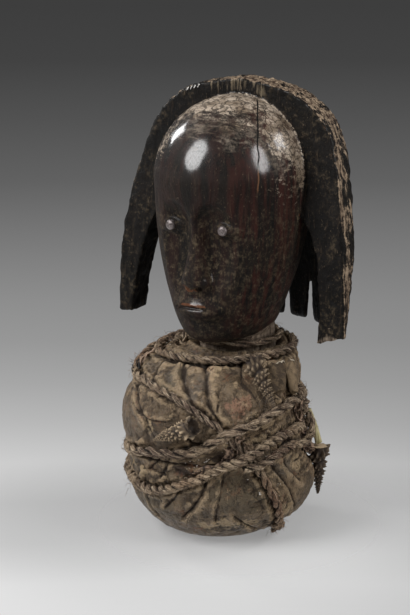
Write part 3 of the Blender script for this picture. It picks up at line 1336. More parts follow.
bark = Finish("bark_fibre")
fibre_place = bark.node("Attribute", {"attribute_name": "fibre"}, output="Vector")
fibres = bark.noise(1.0, 4, 0.65, stretch=(3.2, 3.2, 90), place=fibre_place)
fibre_broad = bark.noise(1.0, 3, 0.5, stretch=(1.0, 1.0, 60), place=fibre_place)
rope_broad = bark.noise(22, 4, 0.6)
rope_clumps = bark.noise(240, 4, 0.75)
rope_tone = bark.mix(bark.band(rope_broad, 0.38, 0.62), (0.105, 0.068, 0.047), (0.285, 0.208, 0.134))
rope_tone = bark.layered(rope_tone, [
    (bark.band(bark.noise(9, 3, 0.5), 0.52, 0.66) * 0.45, (0.220, 0.100, 0.050)),
    (bark.band(fibres, 0.50, 0.70) * 0.85, (0.660, 0.540, 0.390)),
    (bark.band(fibres, 0.50, 0.36) * 0.92, (0.022, 0.013, 0.010)),
    (bark.band(rope_clumps, 0.50, 0.38) * 0.75, (0.030, 0.019, 0.013)),
    (bark.band(rope_clumps, 0.58, 0.70) * 0.60, (0.400, 0.310, 0.215)),
    (bark.painted("groove") * 0.92, (0.008, 0.005, 0.004)),
])
bark.shade(
    Base_Color=rope_tone,
    Roughness=0.80,
    Normal=bark.bump(fibres + fibre_broad * 0.8 + rope_clumps, 0.0020, 1.0),
)
bark.shader.inputs["Specular IOR Level"].default_value = 0.3


class Tree(Nodes):
    """A Geometry Nodes tree."""

    def scaled(self, vector, size):
        return self.node("VectorMath", {"operation": "SCALE"}, {0: vector, "Scale": size})

    def store(self, geometry, name, kind, value):
        return self.node("GeometryNodeStoreNamedAttribute", {"data_type": kind, "domain": "POINT"},
                         {"Geometry": geometry, "Name": name, "Value": value})

    def stored(self, name, kind):
        return self.node("GeometryNodeInputNamedAttribute", {"data_type": kind}, {"Name": name})

    def circle(self, corners, radius):
        return self.node("GeometryNodeCurvePrimitiveCircle", {"mode": "RADIUS"},
                         {"Resolution": corners, "Radius": radius})

    def tube(self, line, ring):
        return self.node("GeometryNodeCurveToMesh", {},
                         {"Curve": line, "Profile Curve": ring, "Fill Caps": True})

    def together(self, first, second):
        both_parts = self.node("GeometryNodeJoinGeometry", {}, {0: first})
        self.plug(both_parts.socket.node.inputs[0], second)
        return both_parts


plait = Tree(bpy.data.node_groups.new("two_strand_rope", "GeometryNodeTree"))
for label, kind, side in (
    ("Path", "NodeSocketGeometry", "INPUT"),
    ("Radius", "NodeSocketFloat", "INPUT"),
    ("Turn", "NodeSocketFloat", "INPUT"),
    ("Hairs", "NodeSocketFloat", "INPUT"),
    ("Rope", "NodeSocketGeometry", "OUTPUT"),
):
    plait.tree.interface.new_socket(label, in_out=side, socket_type=kind)
path_in = plait.node("NodeGroupInput", output="Path")
radius_in, turn_in, hairs_in = (path_in.also(label) for label in ("Radius", "Turn", "Hairs"))
course = plait.node("GeometryNodeResampleCurve", {"mode": "LENGTH"}, {"Curve": path_in, "Length": 0.0014})
run = plait.node("GeometryNodeSplineParameter", output="Length")
tangent = plait.node("GeometryNodeInputTangent")
normal = plait.node("GeometryNodeInputNormal")
sideways = plait.node("VectorMath", {"operation": "CROSS_PRODUCT"}, {0: tangent, 1: normal})
rope_plies = []
for ply in (0, 1):
    phase = run / turn_in * math.tau + ply * math.pi
    wobble = plait.node("TexNoise", {}, {"Scale": 70.0 + 30 * ply, "Detail": 3.0}) * 1.7 + 0.17
    swing = plait.node("Math", {"operation": "COSINE"}, {0: phase}) * radius_in * 0.50
    sway = plait.node("Math", {"operation": "SINE"}, {0: phase}) * radius_in * 0.50
    offset = plait.node("VectorMath", {"operation": "ADD"}, {
        0: plait.scaled(normal, swing), 1: plait.scaled(sideways, sway)})
    strand = plait.node("GeometryNodeSetPosition", {}, {"Geometry": course, "Offset": offset})
    strand = plait.node("GeometryNodeSetCurveRadius", {}, {"Curve": strand, "Radius": wobble})
    strand = plait.store(strand, "run", "FLOAT", run + ply * 0.37)
    ring = plait.store(plait.circle(14, radius_in * 0.60), "ring", "FLOAT_VECTOR",
                            plait.node("GeometryNodeInputPosition"))
    rope_plies.append(plait.tube(strand, ring))
both_plies = plait.together(*rope_plies)
ring_size = plait.scaled(plait.stored("ring", "FLOAT_VECTOR"), 380.0)
run_vector = plait.node("CombineXYZ", {}, {"Z": plait.stored("run", "FLOAT")})
fibre_vector = plait.node("VectorMath", {"operation": "ADD"}, {0: ring_size, 1: run_vector})
both_plies = plait.store(both_plies, "fibre", "FLOAT_VECTOR", fibre_vector)
ridge_size = plait.node("TexNoise", {}, {"Vector": fibre_vector, "Scale": 2.2, "Detail": 2.0}) - 0.5
ridge_size = ridge_size + (plait.node("TexNoise", {}, {"Scale": 260.0, "Detail": 2.0}) - 0.5) * 0.8
ridged = plait.scaled(plait.node("GeometryNodeInputNormal"), ridge_size * radius_in * 0.75)
both_plies = plait.node("GeometryNodeSetPosition", {}, {"Geometry": both_plies, "Offset": ridged})
# Short bent hairs stand out of both plies
scatter = plait.node("GeometryNodeDistributePointsOnFaces", {}, {
    "Mesh": both_plies, "Density": hairs_in, "Seed": 5})
hair_line = plait.node("GeometryNodeCurvePrimitiveBezierSegment", {}, {
    "Resolution": 5, "Start": (0.0, 0.0, -0.0004), "Start Handle": (0.0005, 0.0, 0.0022),
    "End Handle": (0.0030, 0.0010, 0.0030), "End": (0.0058, 0.0016, 0.0018)})
hair = plait.tube(hair_line, plait.circle(3, 0.00013))
spin = plait.node("FunctionNodeRandomValue", {"data_type": "FLOAT_VECTOR"}, {
    0: (-0.5, -0.5, 0.0), 1: (0.5, 0.5, 6.28), "Seed": 6})
turned = plait.node("FunctionNodeRotateRotation", {"rotation_space": "LOCAL"}, {
    0: scatter.also("Rotation"), 1: spin})
hair_size = plait.node("FunctionNodeRandomValue", {"data_type": "FLOAT"}, {
    2: 0.35, 3: 1.35, "Seed": 7}, output=1)
hair_all = plait.node("GeometryNodeInstanceOnPoints", {}, {
    "Points": scatter, "Instance": hair, "Rotation": turned, "Scale": hair_size})
whole = plait.together(both_plies, hair_all)
whole = plait.node("GeometryNodeRealizeInstances", {}, {"Geometry": whole})
whole = plait.node("GeometryNodeSetMaterial", {}, {"Geometry": whole, "Material": bark.material})
plait.node("NodeGroupOutput", {}, {"Rope": whole})


# Hairs to the square metre of a strand
rope_hairs = 22000.0


def grow_rope(name, path, closed, radius, turn):
    """A two-strand rope along a path in mm."""
    line = bpy.data.curves.new(name + "_path", "CURVE")
    line.dimensions = "3D"
    course = line.splines.new("POLY")
    course.points.add(len(path) - 1)
    course.points.foreach_set("co", np.c_[path * mm, np.ones(len(path))].ravel())
    course.use_cyclic_u = closed
    steps = np.diff(np.vstack([path, path[:1]]) if closed else path, axis=0)
    length = np.linalg.norm(steps, axis=1).sum()
    whole_turns = max(round(length / turn), 1)
    guide = bpy.data.objects.new(name + "_path", line)
    bpy.context.scene.collection.objects.link(guide)
    grow = guide.modifiers.new("rope", "NODES")
    grow.node_group = plait.tree
    sockets = {item.name: item.identifier for item in plait.tree.interface.items_tree}
    grow[sockets["Radius"]] = radius * mm
    grow[sockets["Turn"]] = length / whole_turns * mm
    grow[sockets["Hairs"]] = rope_hairs
    mesh = bpy.data.meshes.new_from_object(guide.evaluated_get(bpy.context.evaluated_depsgraph_get()))
    guide.modifiers.remove(grow)
    bpy.data.objects.remove(guide)
    mesh.name = name
    mesh.shade_smooth()
    spots = np.empty(len(mesh.vertices) * 3, np.float32)
    mesh.vertices.foreach_get("co", spots)
    spots = spots.reshape(-1, 3) / mm
    nearest = np.full(len(spots), 99.0)
    for spot in path:
        nearest = np.minimum(nearest, ((spots - spot) ** 2).sum(axis=1))
    groove = mesh.attributes.new("groove", "FLOAT", "POINT")
    groove_depth = ramp(0.80 * radius - np.sqrt(nearest), 0, 0.30 * radius)
    groove.data.foreach_set("value", groove_depth.astype(np.float32))
    rope = bpy.data.objects.new(name, mesh)
    bpy.context.scene.collection.objects.link(rope)
    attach(rope, "root")
    return rope


turn_z = packet_height + 1.8 * rope_radius
turn_radius = neck_radius + 3 * (1 - (turn_z - neck_foot_z) / 50) ** 2 + rope_radius + rope_gap
turn_angles = np.radians(np.arange(0, 360, 4))
rope_paths["rope_neck_turn"] = np.stack([
    neck_axis[0] + turn_radius * np.cos(turn_angles),
    neck_axis[1] + turn_radius * np.sin(turn_angles),
    turn_z + 0 * turn_angles,
], axis=1), True
# radius, length of one turn
rope_lays = {
    "rope_collar": (4.3, 23),
    "rope_diagonal": (4.1, 30),
    "rope_lower": (5.0, 21),
    "rope_waist": (5.1, 38),
    "rope_strand": (4.6, 27),
    "rope_neck_turn": (3.5, 64),
}
for name, (path, closed) in rope_paths.items():
    wander = np.stack([lump(path, 14, 70 + k) for k in range(3)], axis=1)
    twist = grow_rope(name + "_twist", path + 0.8 * wander, closed, *rope_lays[name])
    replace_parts(twist, name)

# Knots: on the right shoulder, behind the hanging shell and above it, and at the slanting rope's lower end
knot_turn = np.linspace(0, 2 * math.pi, 60, endpoint=False)
knot_path = np.stack([
    np.sin(knot_turn) + 2 * np.sin(2 * knot_turn),
    np.cos(knot_turn) - 2 * np.cos(2 * knot_turn),
    -np.sin(3 * knot_turn),
], axis=1) * (2.5, 2.1, 3.6)
# name, angle, height share, lift, size
knots = [
    ("rope_knot", 216.0, 0.985, 6.5, 1.0),
    ("rope_lump", 12.0, 0.700, 8.0, 1.2),
    ("rope_upper_lump", 4.0, 0.800, 6.0, 1.0),
    ("rope_end_lump", 352.0, 0.085, 5.0, 0.8),
]
for name, angle, share, lift, size in knots:
    knot_spot, knot_out = at_packet(angle, share)
    knot_up = unit(np.array([0, 0, 1.0]) - knot_out * knot_out[2])
    knot_axes = np.array([np.cross(knot_up, knot_out), knot_up, knot_out])
    knot_course = knot_spot + lift * knot_out + size * knot_path @ knot_axes
    grow_rope(name, knot_course, True, 3.0 * size, 13)


# Loose fibres
# Ends and hairs that have worked out of the cord at the knot, at the crossing and at both sides, wads of
# tangled fibre round the hanging shell's tie, and a few stiff, charred ends on the right shoulder.

def sweep(paths, radii, around):
    """Tubes along lists of points; radii is one radius for each point."""
    points, faces, first = [], [], 0
    ring_turn = np.arange(around) * math.tau / around
    ends = []
    for path, radius in zip(paths, radii):
        path = np.asarray(path, float)
        ahead = unit(np.gradient(path, axis=0))
        start = np.array([0, 0, 1.0]) if abs(ahead[0][2]) < 0.9 else np.array([1.0, 0, 0])
        across = []
        for direction in ahead:
            start = unit(start - direction * (start @ direction))
            across.append(start)
        across = np.array(across)
        third = np.cross(ahead, across)
        radius = np.broadcast_to(radius, len(path))[:, None, None]
        ring = (path[:, None] + radius * (across[:, None] * np.cos(ring_turn)[None, :, None]
                                          + third[:, None] * np.sin(ring_turn)[None, :, None]))
        points.append(ring.reshape(-1, 3))
        squares, low_end, high_end = ring_faces(len(path), around)
        faces.append(squares + first)
        ends.append(low_end + first)
        ends.append(high_end + first)
        first += len(path) * around
    return np.concatenate(points), [np.concatenate(faces), np.concatenate(ends)]


fluff = Finish("loose_fibre")
fibre_noise = fluff.noise(170, 4, 0.65)
fibre_tone = fluff.mix(fluff.band(fibre_noise, 0.38, 0.62), (0.030, 0.018, 0.014), (0.30, 0.205, 0.140))
fluff.shade(
    Base_Color=fluff.mix(fluff.painted("charred"), fibre_tone, (0.006, 0.005, 0.005)),
    Roughness=0.75,
)
# angle, height share, how many, length, spread, bend downwards
tufts = [
    (205, 0.860, 26, 11, 0.8, 0.2),
    (212, 0.440, 34, 9, 0.9, 0.1),
    (216, 0.240, 8, 12, 0.5, 0.3),
    (314, 0.610, 22, 22, 0.35, 0.9),
    (24, 0.690, 30, 13, 0.9, 0.5),
    (349, 0.070, 24, 10, 0.9, 0.3),
    (201, 0.960, 24, 10, 0.9, 0.2),
    (313, 0.500, 16, 12, 0.7, 0.6),
]
hair_steps = 7
wad_steps = 26
draw = np.random.default_rng(11)
hair_paths, hair_radii = [], []
for angle, share, count, length, spread, sag in tufts:
    for _ in range(count):
        root_angle = angle + draw.normal(0, 2.2)
        foot, out = at_packet(root_angle, share + draw.normal(0, 0.012))
        start = foot + out * draw.uniform(2, 8)
        direction = unit(out + spread * draw.normal(0, 1, 3) + sag * np.array([0, 0, -1]))
        curl = draw.normal(0, 0.55, 3)
        t = np.linspace(0, 1, hair_steps)[:, None]
        reach = length * draw.uniform(0.4, 1.0)
        bend = curl - direction * (curl @ direction)
        hair_paths.append(start + reach * (t * direction + 0.5 * t * t * bend))
        hair_radii.append(draw.uniform(0.16, 0.34) * np.linspace(1, 0.3, hair_steps))
# Wads of tangled fibre: angle and height share at both ends, how many, width, least and most lift
wads = [
    (7, 0.800, 16, 0.500, 26, 5.5, (1.0, 9.0)),
    (304, 0.515, 312, 0.640, 12, 4.0, (1.5, 5.0)),
    (286, 0.460, 306, 0.500, 10, 3.0, (1.5, 4.0)),
    (204, 0.930, 214, 0.850, 9, 4.0, (1.0, 6.0)),
    (24, 0.520, 32, 0.405, 20, 4.5, (3.0, 13.0)),
    (27, 0.450, 33, 0.355, 16, 2.5, (4.0, 12.0)),
]
for angle, share, end_angle, end_share, count, width, lifts in wads:
    for _ in range(count):
        t = np.linspace(0, 1, wad_steps)
        sway = draw.normal(0, width / 2, 2)[:, None] + width * np.stack([
            np.sin(t * draw.uniform(7, 16) + draw.uniform(0, 6)) for _ in range(2)])
        wad_angle = angle + ((end_angle - angle + 540) % 360 - 180) * t + np.degrees(sway[0] / packet_radius)
        wad_z = (share + (end_share - share) * t) * packet_height + sway[1]
        rise_and_fall = 0.5 + 0.5 * np.sin(t * draw.uniform(5, 12) + draw.uniform(0, 6))
        lift = lifts[0] + (lifts[1] - lifts[0]) * rise_and_fall
        hair_paths.append(packet_spot(wad_angle, wad_z, lift))
        knotty = 0.75 + 0.25 * np.sin(30 * t)
        hair_radii.append(draw.uniform(0.8, 1.7) * knotty * np.minimum(1, 4 * t * (1 - t) + 0.4))
fibre_around = 5
stiff_points = 8
# Stiff dark ends of cord on the right shoulder: angle, height share, outward, lean
stiff_ends = [
    (218, 0.866, 0.20, 0.1),
    (220, 0.862, 0.15, -0.3),
    (216, 0.860, 0.25, 0.4),
    (217, 0.838, 0.30, 0.2),
    (215, 0.834, 0.20, -0.3),
    (219, 0.830, 0.35, 0.5),
]
for angle, share, outward, lean in stiff_ends:
    foot, out = at_packet(float(angle), share)
    t = np.linspace(0, 1, stiff_points)[:, None]
    ahead = outward * out + (0, 0, 0.8) + lean * np.array([0.5, -0.8, 0])
    hair_paths.append(foot + 5 * out + 9 * t * ahead + t * t * (0, 0, 1.5))
    hair_radii.append(1.6 * (1 - 0.7 * t[:, 0]))
fibre_points, fibre_faces = sweep(hair_paths, hair_radii, fibre_around)
fibre_points[:, 2] = np.maximum(fibre_points[:, 2], 0.3)
charred = np.arange(len(fibre_points)) >= len(fibre_points) - stiff_points * fibre_around * len(stiff_ends)
fibre_mesh = mesh_from("loose_fibres", fibre_points, fibre_faces, {"charred": charred})
loose_fibres = make_object("loose_fibres", fibre_mesh, fluff)
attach(loose_fibres, "root")


# Eye studs
# Round-headed tacks of dulled metal, one driven into the middle of each eye. Their heads are a little
# out of round and rest on the wood.

metal = Finish("dull_metal")
stud_marks = metal.noise(700, 4, 0.6)
metal.shade(
    Base_Color=metal.mix(metal.band(stud_marks, 0.35, 0.65), (0.066, 0.054, 0.052), (0.165, 0.138, 0.132)),
    Metallic=0.5,
    Roughness=metal.band(stud_marks, 0.3, 0.7, 0.30, 0.52),
    Normal=metal.bump(stud_marks, 0.0002, 0.5),
)
stud_radius = 5.5
stud_profile = [(0.02, 0), (5.2, 0), (5.5, 0.25), (5.5, 0.7)]
stud_profile += [(stud_radius * math.cos(a), 0.8 + 3.0 * math.sin(a)) for a in np.linspace(0.08, 1.52, 14)]
stud_profile += [(0.02, 3.8)]
stud_around = 40
stud_turn = np.arange(stud_around) * math.tau / stud_around
for name, side in (("left", 1), ("right", -1)):
    uneven = 1 + 0.03 * np.sin(3 * stud_turn + side)
    rings = [np.stack([
        skull_centre[0] + side * eye_x + reach * np.cos(stud_turn) * uneven,
        eye_y - stud_seat_stand - 0.3 - rise + 0 * stud_turn,
        eye_z + reach * np.sin(stud_turn),
    ], axis=1) for reach, rise in stud_profile]
    mesh = mesh_from("eye_stud_" + name + "_head", np.concatenate(rings), ring_faces(len(rings), stud_around))
    stud = make_object("eye_stud_" + name + "_head", mesh, metal)
    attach(stud, "root")
    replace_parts(stud, "eye_stud_" + name)


# Shells
# Three mud-creeper shells: one behind the collar rope, one between the two ropes at the front, and one
# hung by a quill at the left side, which the picture shows on the right. Each turn has two rows of
# blunt knobs, and the mouth is dark inside.

creeper = Finish("creeper_shell")
shell_grime = creeper.noise(120, 4, 0.6)
shell_fine = creeper.noise(600, 3, 0.6)
shell_tone = creeper.layered(
    creeper.mix(creeper.band(shell_grime, 0.38, 0.62), (0.036, 0.025, 0.016), (0.130, 0.092, 0.058)), [
        (creeper.painted("knob") * 0.95, (0.480, 0.365, 0.240)),
        (creeper.painted("dark") * 0.85, (0.030, 0.021, 0.017)),
        (creeper.painted("hollow") * 0.95, (0.010, 0.007, 0.006)),
    ])
creeper.shade(
    Base_Color=shell_tone,
    Roughness=creeper.band(shell_fine, 0.3, 0.7, 0.5, 0.75),
    Normal=creeper.bump(shell_fine + shell_grime, 0.0006, 0.8),
)
creeper.shader.inputs["Specular IOR Level"].default_value = 0.2
shell_length = 57
shell_mouth = 10
shell_tip = 1.2
shell_shrink = 0.79
shell_beads = 9
shell_around = 72
shell_rows = 170
# Rings inside the mouth: share of its radius, depth
mouth_steps = [(0.05, 7), (0.45, 6), (0.62, 4), (0.74, 2), (0.86, 0.6)]


def make_shell(name, mouth, tip, seed, roll, darkness, sealed=False):
    """A spiral shell from mouth to tip; roll turns it about its own length. A sealed one has a flat end."""
    share = np.linspace(0, 1, shell_rows)[:, None]
    theta = np.arange(shell_around)[None] * math.tau / shell_around
    flat = 0 * (share + theta)
    body = shell_mouth + (shell_tip - shell_mouth) * share ** 1.3
    turns = np.log(shell_mouth / body) / math.log(1 / shell_shrink)
    step = (turns + theta / math.tau) % 1
    rib = np.sin(math.pi * step) ** 0.55
    ridge = swell(step - 0.34, 0.13) + 0.9 * swell(step - 0.70, 0.12)
    bead = np.cos(theta * shell_beads + 2.5 * (step > 0.52) + 6 * share)
    knobs = ridge * np.clip(bead, 0, 1) ** 0.8
    uneven = 1 + 0.5 * lump(np.stack([theta + flat, 9 * share + flat, flat], axis=-1), 0.5, seed)
    reach = body * (0.70 + 0.20 * rib + 0.48 * knobs * uneven) + 0.05
    reach = reach * (1 + 0.10 * ramp(0.06 - share, 0, 0.05) * np.cos(theta * 5 + seed))
    rim_place = np.stack([3 * np.cos(theta), 3 * np.sin(theta), 0 * theta], axis=-1)
    ragged = (0 if sealed else 2.6) * ramp(0.08 - share, 0, 0.08) * lump(rim_place, 1.0, seed + 9)
    spots = np.stack([reach * np.cos(theta), shell_length * share + ragged, reach * np.sin(theta)], axis=-1)
    spots = spots + 0.25 * lump(spots + 50, 2.2, seed)[..., None]
    circle = theta[0]
    inner = []
    for inset, depth in mouth_steps:
        lip = shell_mouth * inset
        off = 1.6 * (1 - inset)
        depth = -0.6 * (1 - inset) if sealed else depth
        inner.append(np.stack([
            lip * np.cos(circle) + off, depth + 0 * circle, lip * 1.05 * np.sin(circle)], axis=-1))
    last = np.stack([0.05 * np.cos(circle), shell_length + 0.3 + 0 * circle, 0.05 * np.sin(circle)], axis=-1)
    rings = [*inner, *spots, last]
    forward = unit(np.asarray(tip, float) - mouth)
    side = unit(np.cross(forward, [0, 0, 1.0]) if abs(forward[2]) < 0.9 else np.cross(forward, [0, 1.0, 0]))
    side = side * math.cos(roll) + np.cross(forward, side) * math.sin(roll)
    points = np.concatenate(rings) @ np.array([side, forward, np.cross(side, forward)]) + mouth
    groove = np.clip(1.1 - rib, 0, 1) ** 1.5 + 0.45 * ridge * (1 - np.clip(knobs * 3, 0, 1))
    mouth_shade = darkness + (0 if sealed else 0.6) * ramp(0.13 - share, 0, 0.10)

    def over_shell(inside, wall, end):
        """A mask's values inside the mouth, on the wall and at the tip."""
        return np.r_[np.full(len(inner) * shell_around, inside), wall.ravel(), np.full(shell_around, end)]

    masks = {
        "knob": over_shell(0.9 * sealed, np.clip(knobs, 0, 1), 0.0),
        "hollow": over_shell(0.8 * (1 - sealed), np.clip(groove, 0, 1), 0.0),
        "dark": over_shell(darkness * (1 - sealed), mouth_shade + flat, darkness),
    }
    mesh = mesh_from(name + "_spiral", points, ring_faces(len(rings), shell_around), masks)
    piece = make_object(name + "_spiral", mesh, creeper)
    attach(piece, "root")
    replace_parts(piece, name)


def shell_place(angle, share, radius):
    spot, out = at_packet(float(angle), share)
    return spot + (radius + 9.2) * out


make_shell("shell_front", shell_place(313, 0.93, shell_mouth), shell_place(332, 0.80, shell_tip),
           80, 0.6, 0.45)
make_shell("shell_left", shell_place(287, 0.715, shell_mouth), shell_place(257, 0.590, shell_tip),
           81, 2.2, 0.0)
# The hanging shell's side of the packet
hang_degrees = 32.0
hang_angle = math.radians(hang_degrees)
hang_reach = packet_radius + 11
hang_top = 0.42 * packet_height


def hang_place(z):
    return np.array([hang_reach * math.cos(hang_angle), hang_reach * math.sin(hang_angle), z])


make_shell("shell_right", hang_place(hang_top), hang_place(hang_top - shell_length), 82, 1.2, 0.9, True)


# Quill
# A pale stalk split from a palm rib, that ties the hanging shell to the packet. It is stiff, a little
# bent and thinner upwards, and lies over the lower cord.

cane = Finish("palm_rib")
quill_grain = cane.noise(420, 4, 0.6, stretch=(1, 1, 0.12))
cane.shade(
    Base_Color=cane.mix(cane.band(quill_grain, 0.35, 0.65), (0.20, 0.165, 0.070), (0.46, 0.41, 0.24)),
    Roughness=0.5,
    Normal=cane.bump(quill_grain, 0.0004, 0.6),
)
quill_top, quill_out = at_packet(hang_degrees, 0.62)
quill_top = quill_top + 12.5 * quill_out
quill_foot = hang_place(hang_top + 3.9)
quill_share = np.linspace(0, 1, 16)
quill_path = quill_foot + (quill_top - quill_foot) * quill_share[:, None]
quill_path = quill_path + np.outer(np.sin(math.pi * quill_share), (0.5, 0.9, 0))
quill_radii = 4.1 - 1.0 * quill_share ** 0.7 + 0.25 * swell(quill_share - 0.45, 0.05)
quill_points, quill_faces = sweep([quill_path], [quill_radii], 20)
quill = make_object("quill", mesh_from("quill", quill_points, quill_faces), cane)
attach(quill, "root")
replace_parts(quill, "quill_tie")


# Hide flap and roll
# Scraps of the skin's edge, left free above the ropes: a dark flap with a pale torn rim behind the
# front shell, and a curled strip beside it.

scrap = Finish("hide_scrap")
scrap_noise = scrap.noise(150, 4, 0.6)
scrap_streaks = scrap.noise(130, 4, 0.7, stretch=(1, 1, 0.22))
scrap_tone = scrap.layered(
    scrap.mix(scrap.band(scrap_noise, 0.38, 0.62), (0.026, 0.017, 0.009), (0.085, 0.058, 0.033)), [
        (scrap.painted("tanned") * 0.8, (0.210, 0.150, 0.090)),
        (scrap.band(scrap_streaks, 0.48, 0.60) * 0.75, (0.040, 0.027, 0.017)),
        (scrap.ragged("torn", scrap_noise, 1, 0.35, 0.65), (0.36, 0.31, 0.24)),
    ])
scrap.shade(
    Base_Color=scrap_tone,
    Roughness=0.7,
    Normal=scrap.bump(scrap_noise + scrap_streaks, 0.0018, 0.9),
)
scrap.shader.inputs["Specular IOR Level"].default_value = 0.2


def sheet_solid(name, front, torn, thickness, tanned=0.0):
    """A thin closed piece from a grid of points on its front."""
    across = unit(np.gradient(front, axis=1))
    upward = unit(np.gradient(front, axis=0))
    back = front - unit(np.cross(across, upward)) * thickness
    rows, columns = front.shape[:2]
    count = rows * columns
    number = np.arange(count).reshape(rows, columns)
    squares = np.stack([number[:-1, :-1], number[:-1, 1:], number[1:, 1:], number[1:, :-1]], axis=-1)
    squares = squares.reshape(-1, 4)
    rim = np.concatenate([number[0, :-1], number[:-1, -1], number[-1, :0:-1], number[:0:-1, 0]])
    edge = np.stack([np.roll(rim, -1), rim, rim + count, np.roll(rim, -1) + count], axis=1)
    points = np.concatenate([front.reshape(-1, 3), back.reshape(-1, 3)])
    masks = {"torn": np.r_[torn.ravel(), torn.ravel()], "tanned": np.full(len(points), tanned)}
    mesh = mesh_from(name, points, [np.concatenate([squares, squares[:, ::-1] + count, edge])], masks)
    piece = make_object(name, mesh, scrap)
    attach(piece, "root")
    return piece


flap_half = (13.5, 11)
flap_u, flap_v = np.meshgrid(np.linspace(-1, 1, 60), np.linspace(-1, 1, 50))
flap_angle = 337.2
flap_middle_z = 0.885 * packet_height
flap_degrees = math.degrees(1 / float(packet_reach(np.array(flap_angle), np.array(flap_middle_z))))
flap_place = np.stack([flap_u * flap_half[0], flap_v * flap_half[1], 0 * flap_u], axis=-1)
ragged = 1.3 * lump(flap_place, 6, 90) + 0.5 * lump(flap_place, 2.4, 91)
flap_across = flap_u * (flap_half[0] + ragged * np.abs(flap_u) ** 3)
flap_up = flap_v * (flap_half[1] + np.roll(ragged, 7, axis=1) * np.abs(flap_v) ** 3)
flap_lift = 4.6 + 1.3 * lump(flap_place, 8, 92) + 1.5 * flap_v ** 2 * (flap_v > 0)
flap_front = packet_spot(flap_angle + flap_across * flap_degrees, flap_middle_z + flap_up, flap_lift)
flap_torn = np.maximum(
    ramp(flap_v + 0.06 * lump(flap_place, 2.5, 93), 0.90, 0.99) * ramp(flap_u, -0.9, 0.4),
    ramp(flap_u, 0.90, 0.99) * ramp(flap_v, -0.3, 0.6))
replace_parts(sheet_solid("hide_flap_torn", flap_front, flap_torn, 2.0), "hide_flap")

roll_top, roll_foot = (spot + 8.5 * out for spot, out in (at_packet(351.0, 0.930), at_packet(354.0, 0.810)))
roll_v, roll_u = np.meshgrid(np.linspace(0, 1, 40), np.linspace(0, 1, 70))
roll_turn = math.tau * 1.35 * roll_u
roll_place = np.stack([30 * roll_u, 24 * roll_v, 0 * roll_u], axis=-1)
roll_radius = (2.6 + 3.6 * roll_u) * (1 - 0.25 * np.abs(2 * roll_v - 1) ** 3)
roll_radius = roll_radius * (1 + 0.26 * lump(roll_place, 5, 94))
roll_along = roll_v + 0.05 * lump(roll_place * (1, 0, 0), 4, 95) * np.abs(2 * roll_v - 1) ** 2
roll_axis = unit(roll_foot - roll_top)
roll_side = unit(np.cross(roll_axis, [0, 0, 1.0]))
roll_front = (roll_top + (roll_foot - roll_top) * roll_along[..., None]
              + roll_radius[..., None] * (np.cos(roll_turn)[..., None] * roll_side
                                          + np.sin(roll_turn)[..., None] * np.cross(roll_axis, roll_side)))
roll_torn = np.maximum(ramp(roll_v, 0.08, 0.01) * ramp(roll_u, 0.75, 0.45), 0.6 * ramp(roll_u, 0.93, 1))
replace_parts(sheet_solid("hide_roll_curled", roll_front, roll_torn, 1.1, 0.62), "hide_roll")


# Crumbs
# Flakes of chalk, kaolin and shell grit, a millimetre or two across, that were stuck into the knots
# and folds.

grit = Finish("pale_crumbs")
crumb_tone = grit.noise(500, 3, 0.6)
grit.shade(
    Base_Color=grit.mix(grit.band(crumb_tone, 0.36, 0.64), (0.30, 0.26, 0.21), (0.78, 0.75, 0.70)),
    Roughness=0.7,
)
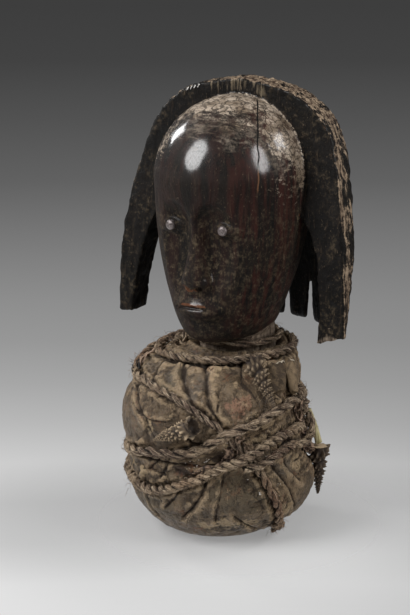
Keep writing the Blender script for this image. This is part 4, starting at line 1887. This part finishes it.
# angle, height share, how many, spread in mm, size in mm
crumb_spots = [
    (285, 0.475, 14, 4.5, 1.3),
    (292, 0.523, 10, 3.0, 1.2),
    (317, 0.410, 1, 0.1, 1.6),
    (325, 0.329, 5, 1.6, 2.0),
    (329, 0.520, 3, 2.0, 1.1),
    (335, 0.298, 4, 3.0, 1.2),
    (338, 0.346, 4, 3.0, 1.1),
    (204, 0.955, 12, 5.0, 1.2),
    (302, 0.600, 8, 8.0, 1.0),
    (90, 0.700, 8, 9.0, 1.1),
    (160, 0.480, 8, 9.0, 1.1),
]
crumb_paths, crumb_radii = [], []
for angle, share, count, spread, size in crumb_spots:
    for _ in range(count):
        crumb_angle = angle + math.degrees(draw.normal(0, spread) / packet_radius)
        crumb_z = share * packet_height + draw.normal(0, spread * 0.6)
        out = packet_outward(np.array(crumb_angle), np.array(crumb_z))
        middle = packet_spot(np.array(crumb_angle), np.array(crumb_z)) + out * draw.uniform(2.2, 4.2)
        across = unit(np.cross(out, draw.normal(0, 1, 3)))
        half = 0.5 * size * draw.uniform(0.5, 1.3)
        crumb_paths.append(middle + np.outer(np.linspace(-1, 1, 5), across * half))
        crumb_radii.append(half * np.array([0.15, 0.65, 0.75, 0.55, 0.12]) * draw.uniform(0.6, 1.1))
crumb_points, crumb_faces = sweep(crumb_paths, crumb_radii, 6)
crumbs = make_object("pale_crumbs", mesh_from("pale_crumbs", crumb_points, crumb_faces), grit)
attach(crumbs, "root")


# Brushed mark
# A pale mark brushed on the coiffure's upper right with thin, matt paint, now only a row of short
# slanting strokes.

paint = Finish("pale_paint")
mark_wear = paint.noise(300, 3, 0.6)
paint.shade(
    Base_Color=paint.mix(paint.band(mark_wear, 0.30, 0.60), (0.36, 0.34, 0.32), (0.58, 0.56, 0.53)),
    Roughness=0.8,
)
stroke_count = 4
stroke_spacing = 4.6
stroke_paths = []
for stroke in range(stroke_count):
    along = -59.5 + stroke_spacing * stroke
    low = np.array([along, neck_axis[1], 480.6 + 0.30 * (along + 59)])
    path = draw_onto(carving, low + np.array([2.2, 0, 3.8]) * np.linspace(0, 1, 6)[:, None])
    nearest = np.array([head_points[((head_points - spot) ** 2).sum(axis=1).argmin()][1] for spot in path])
    path[:, 1] = np.minimum(path[:, 1], nearest).min() - 0.4
    stroke_paths.append(path)
mark_points, mark_faces = sweep(stroke_paths, [0.6] * stroke_count, 8)
mark = make_object("brushed_mark", mesh_from("brushed_mark", mark_points, mark_faces), paint)
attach(mark, "root")
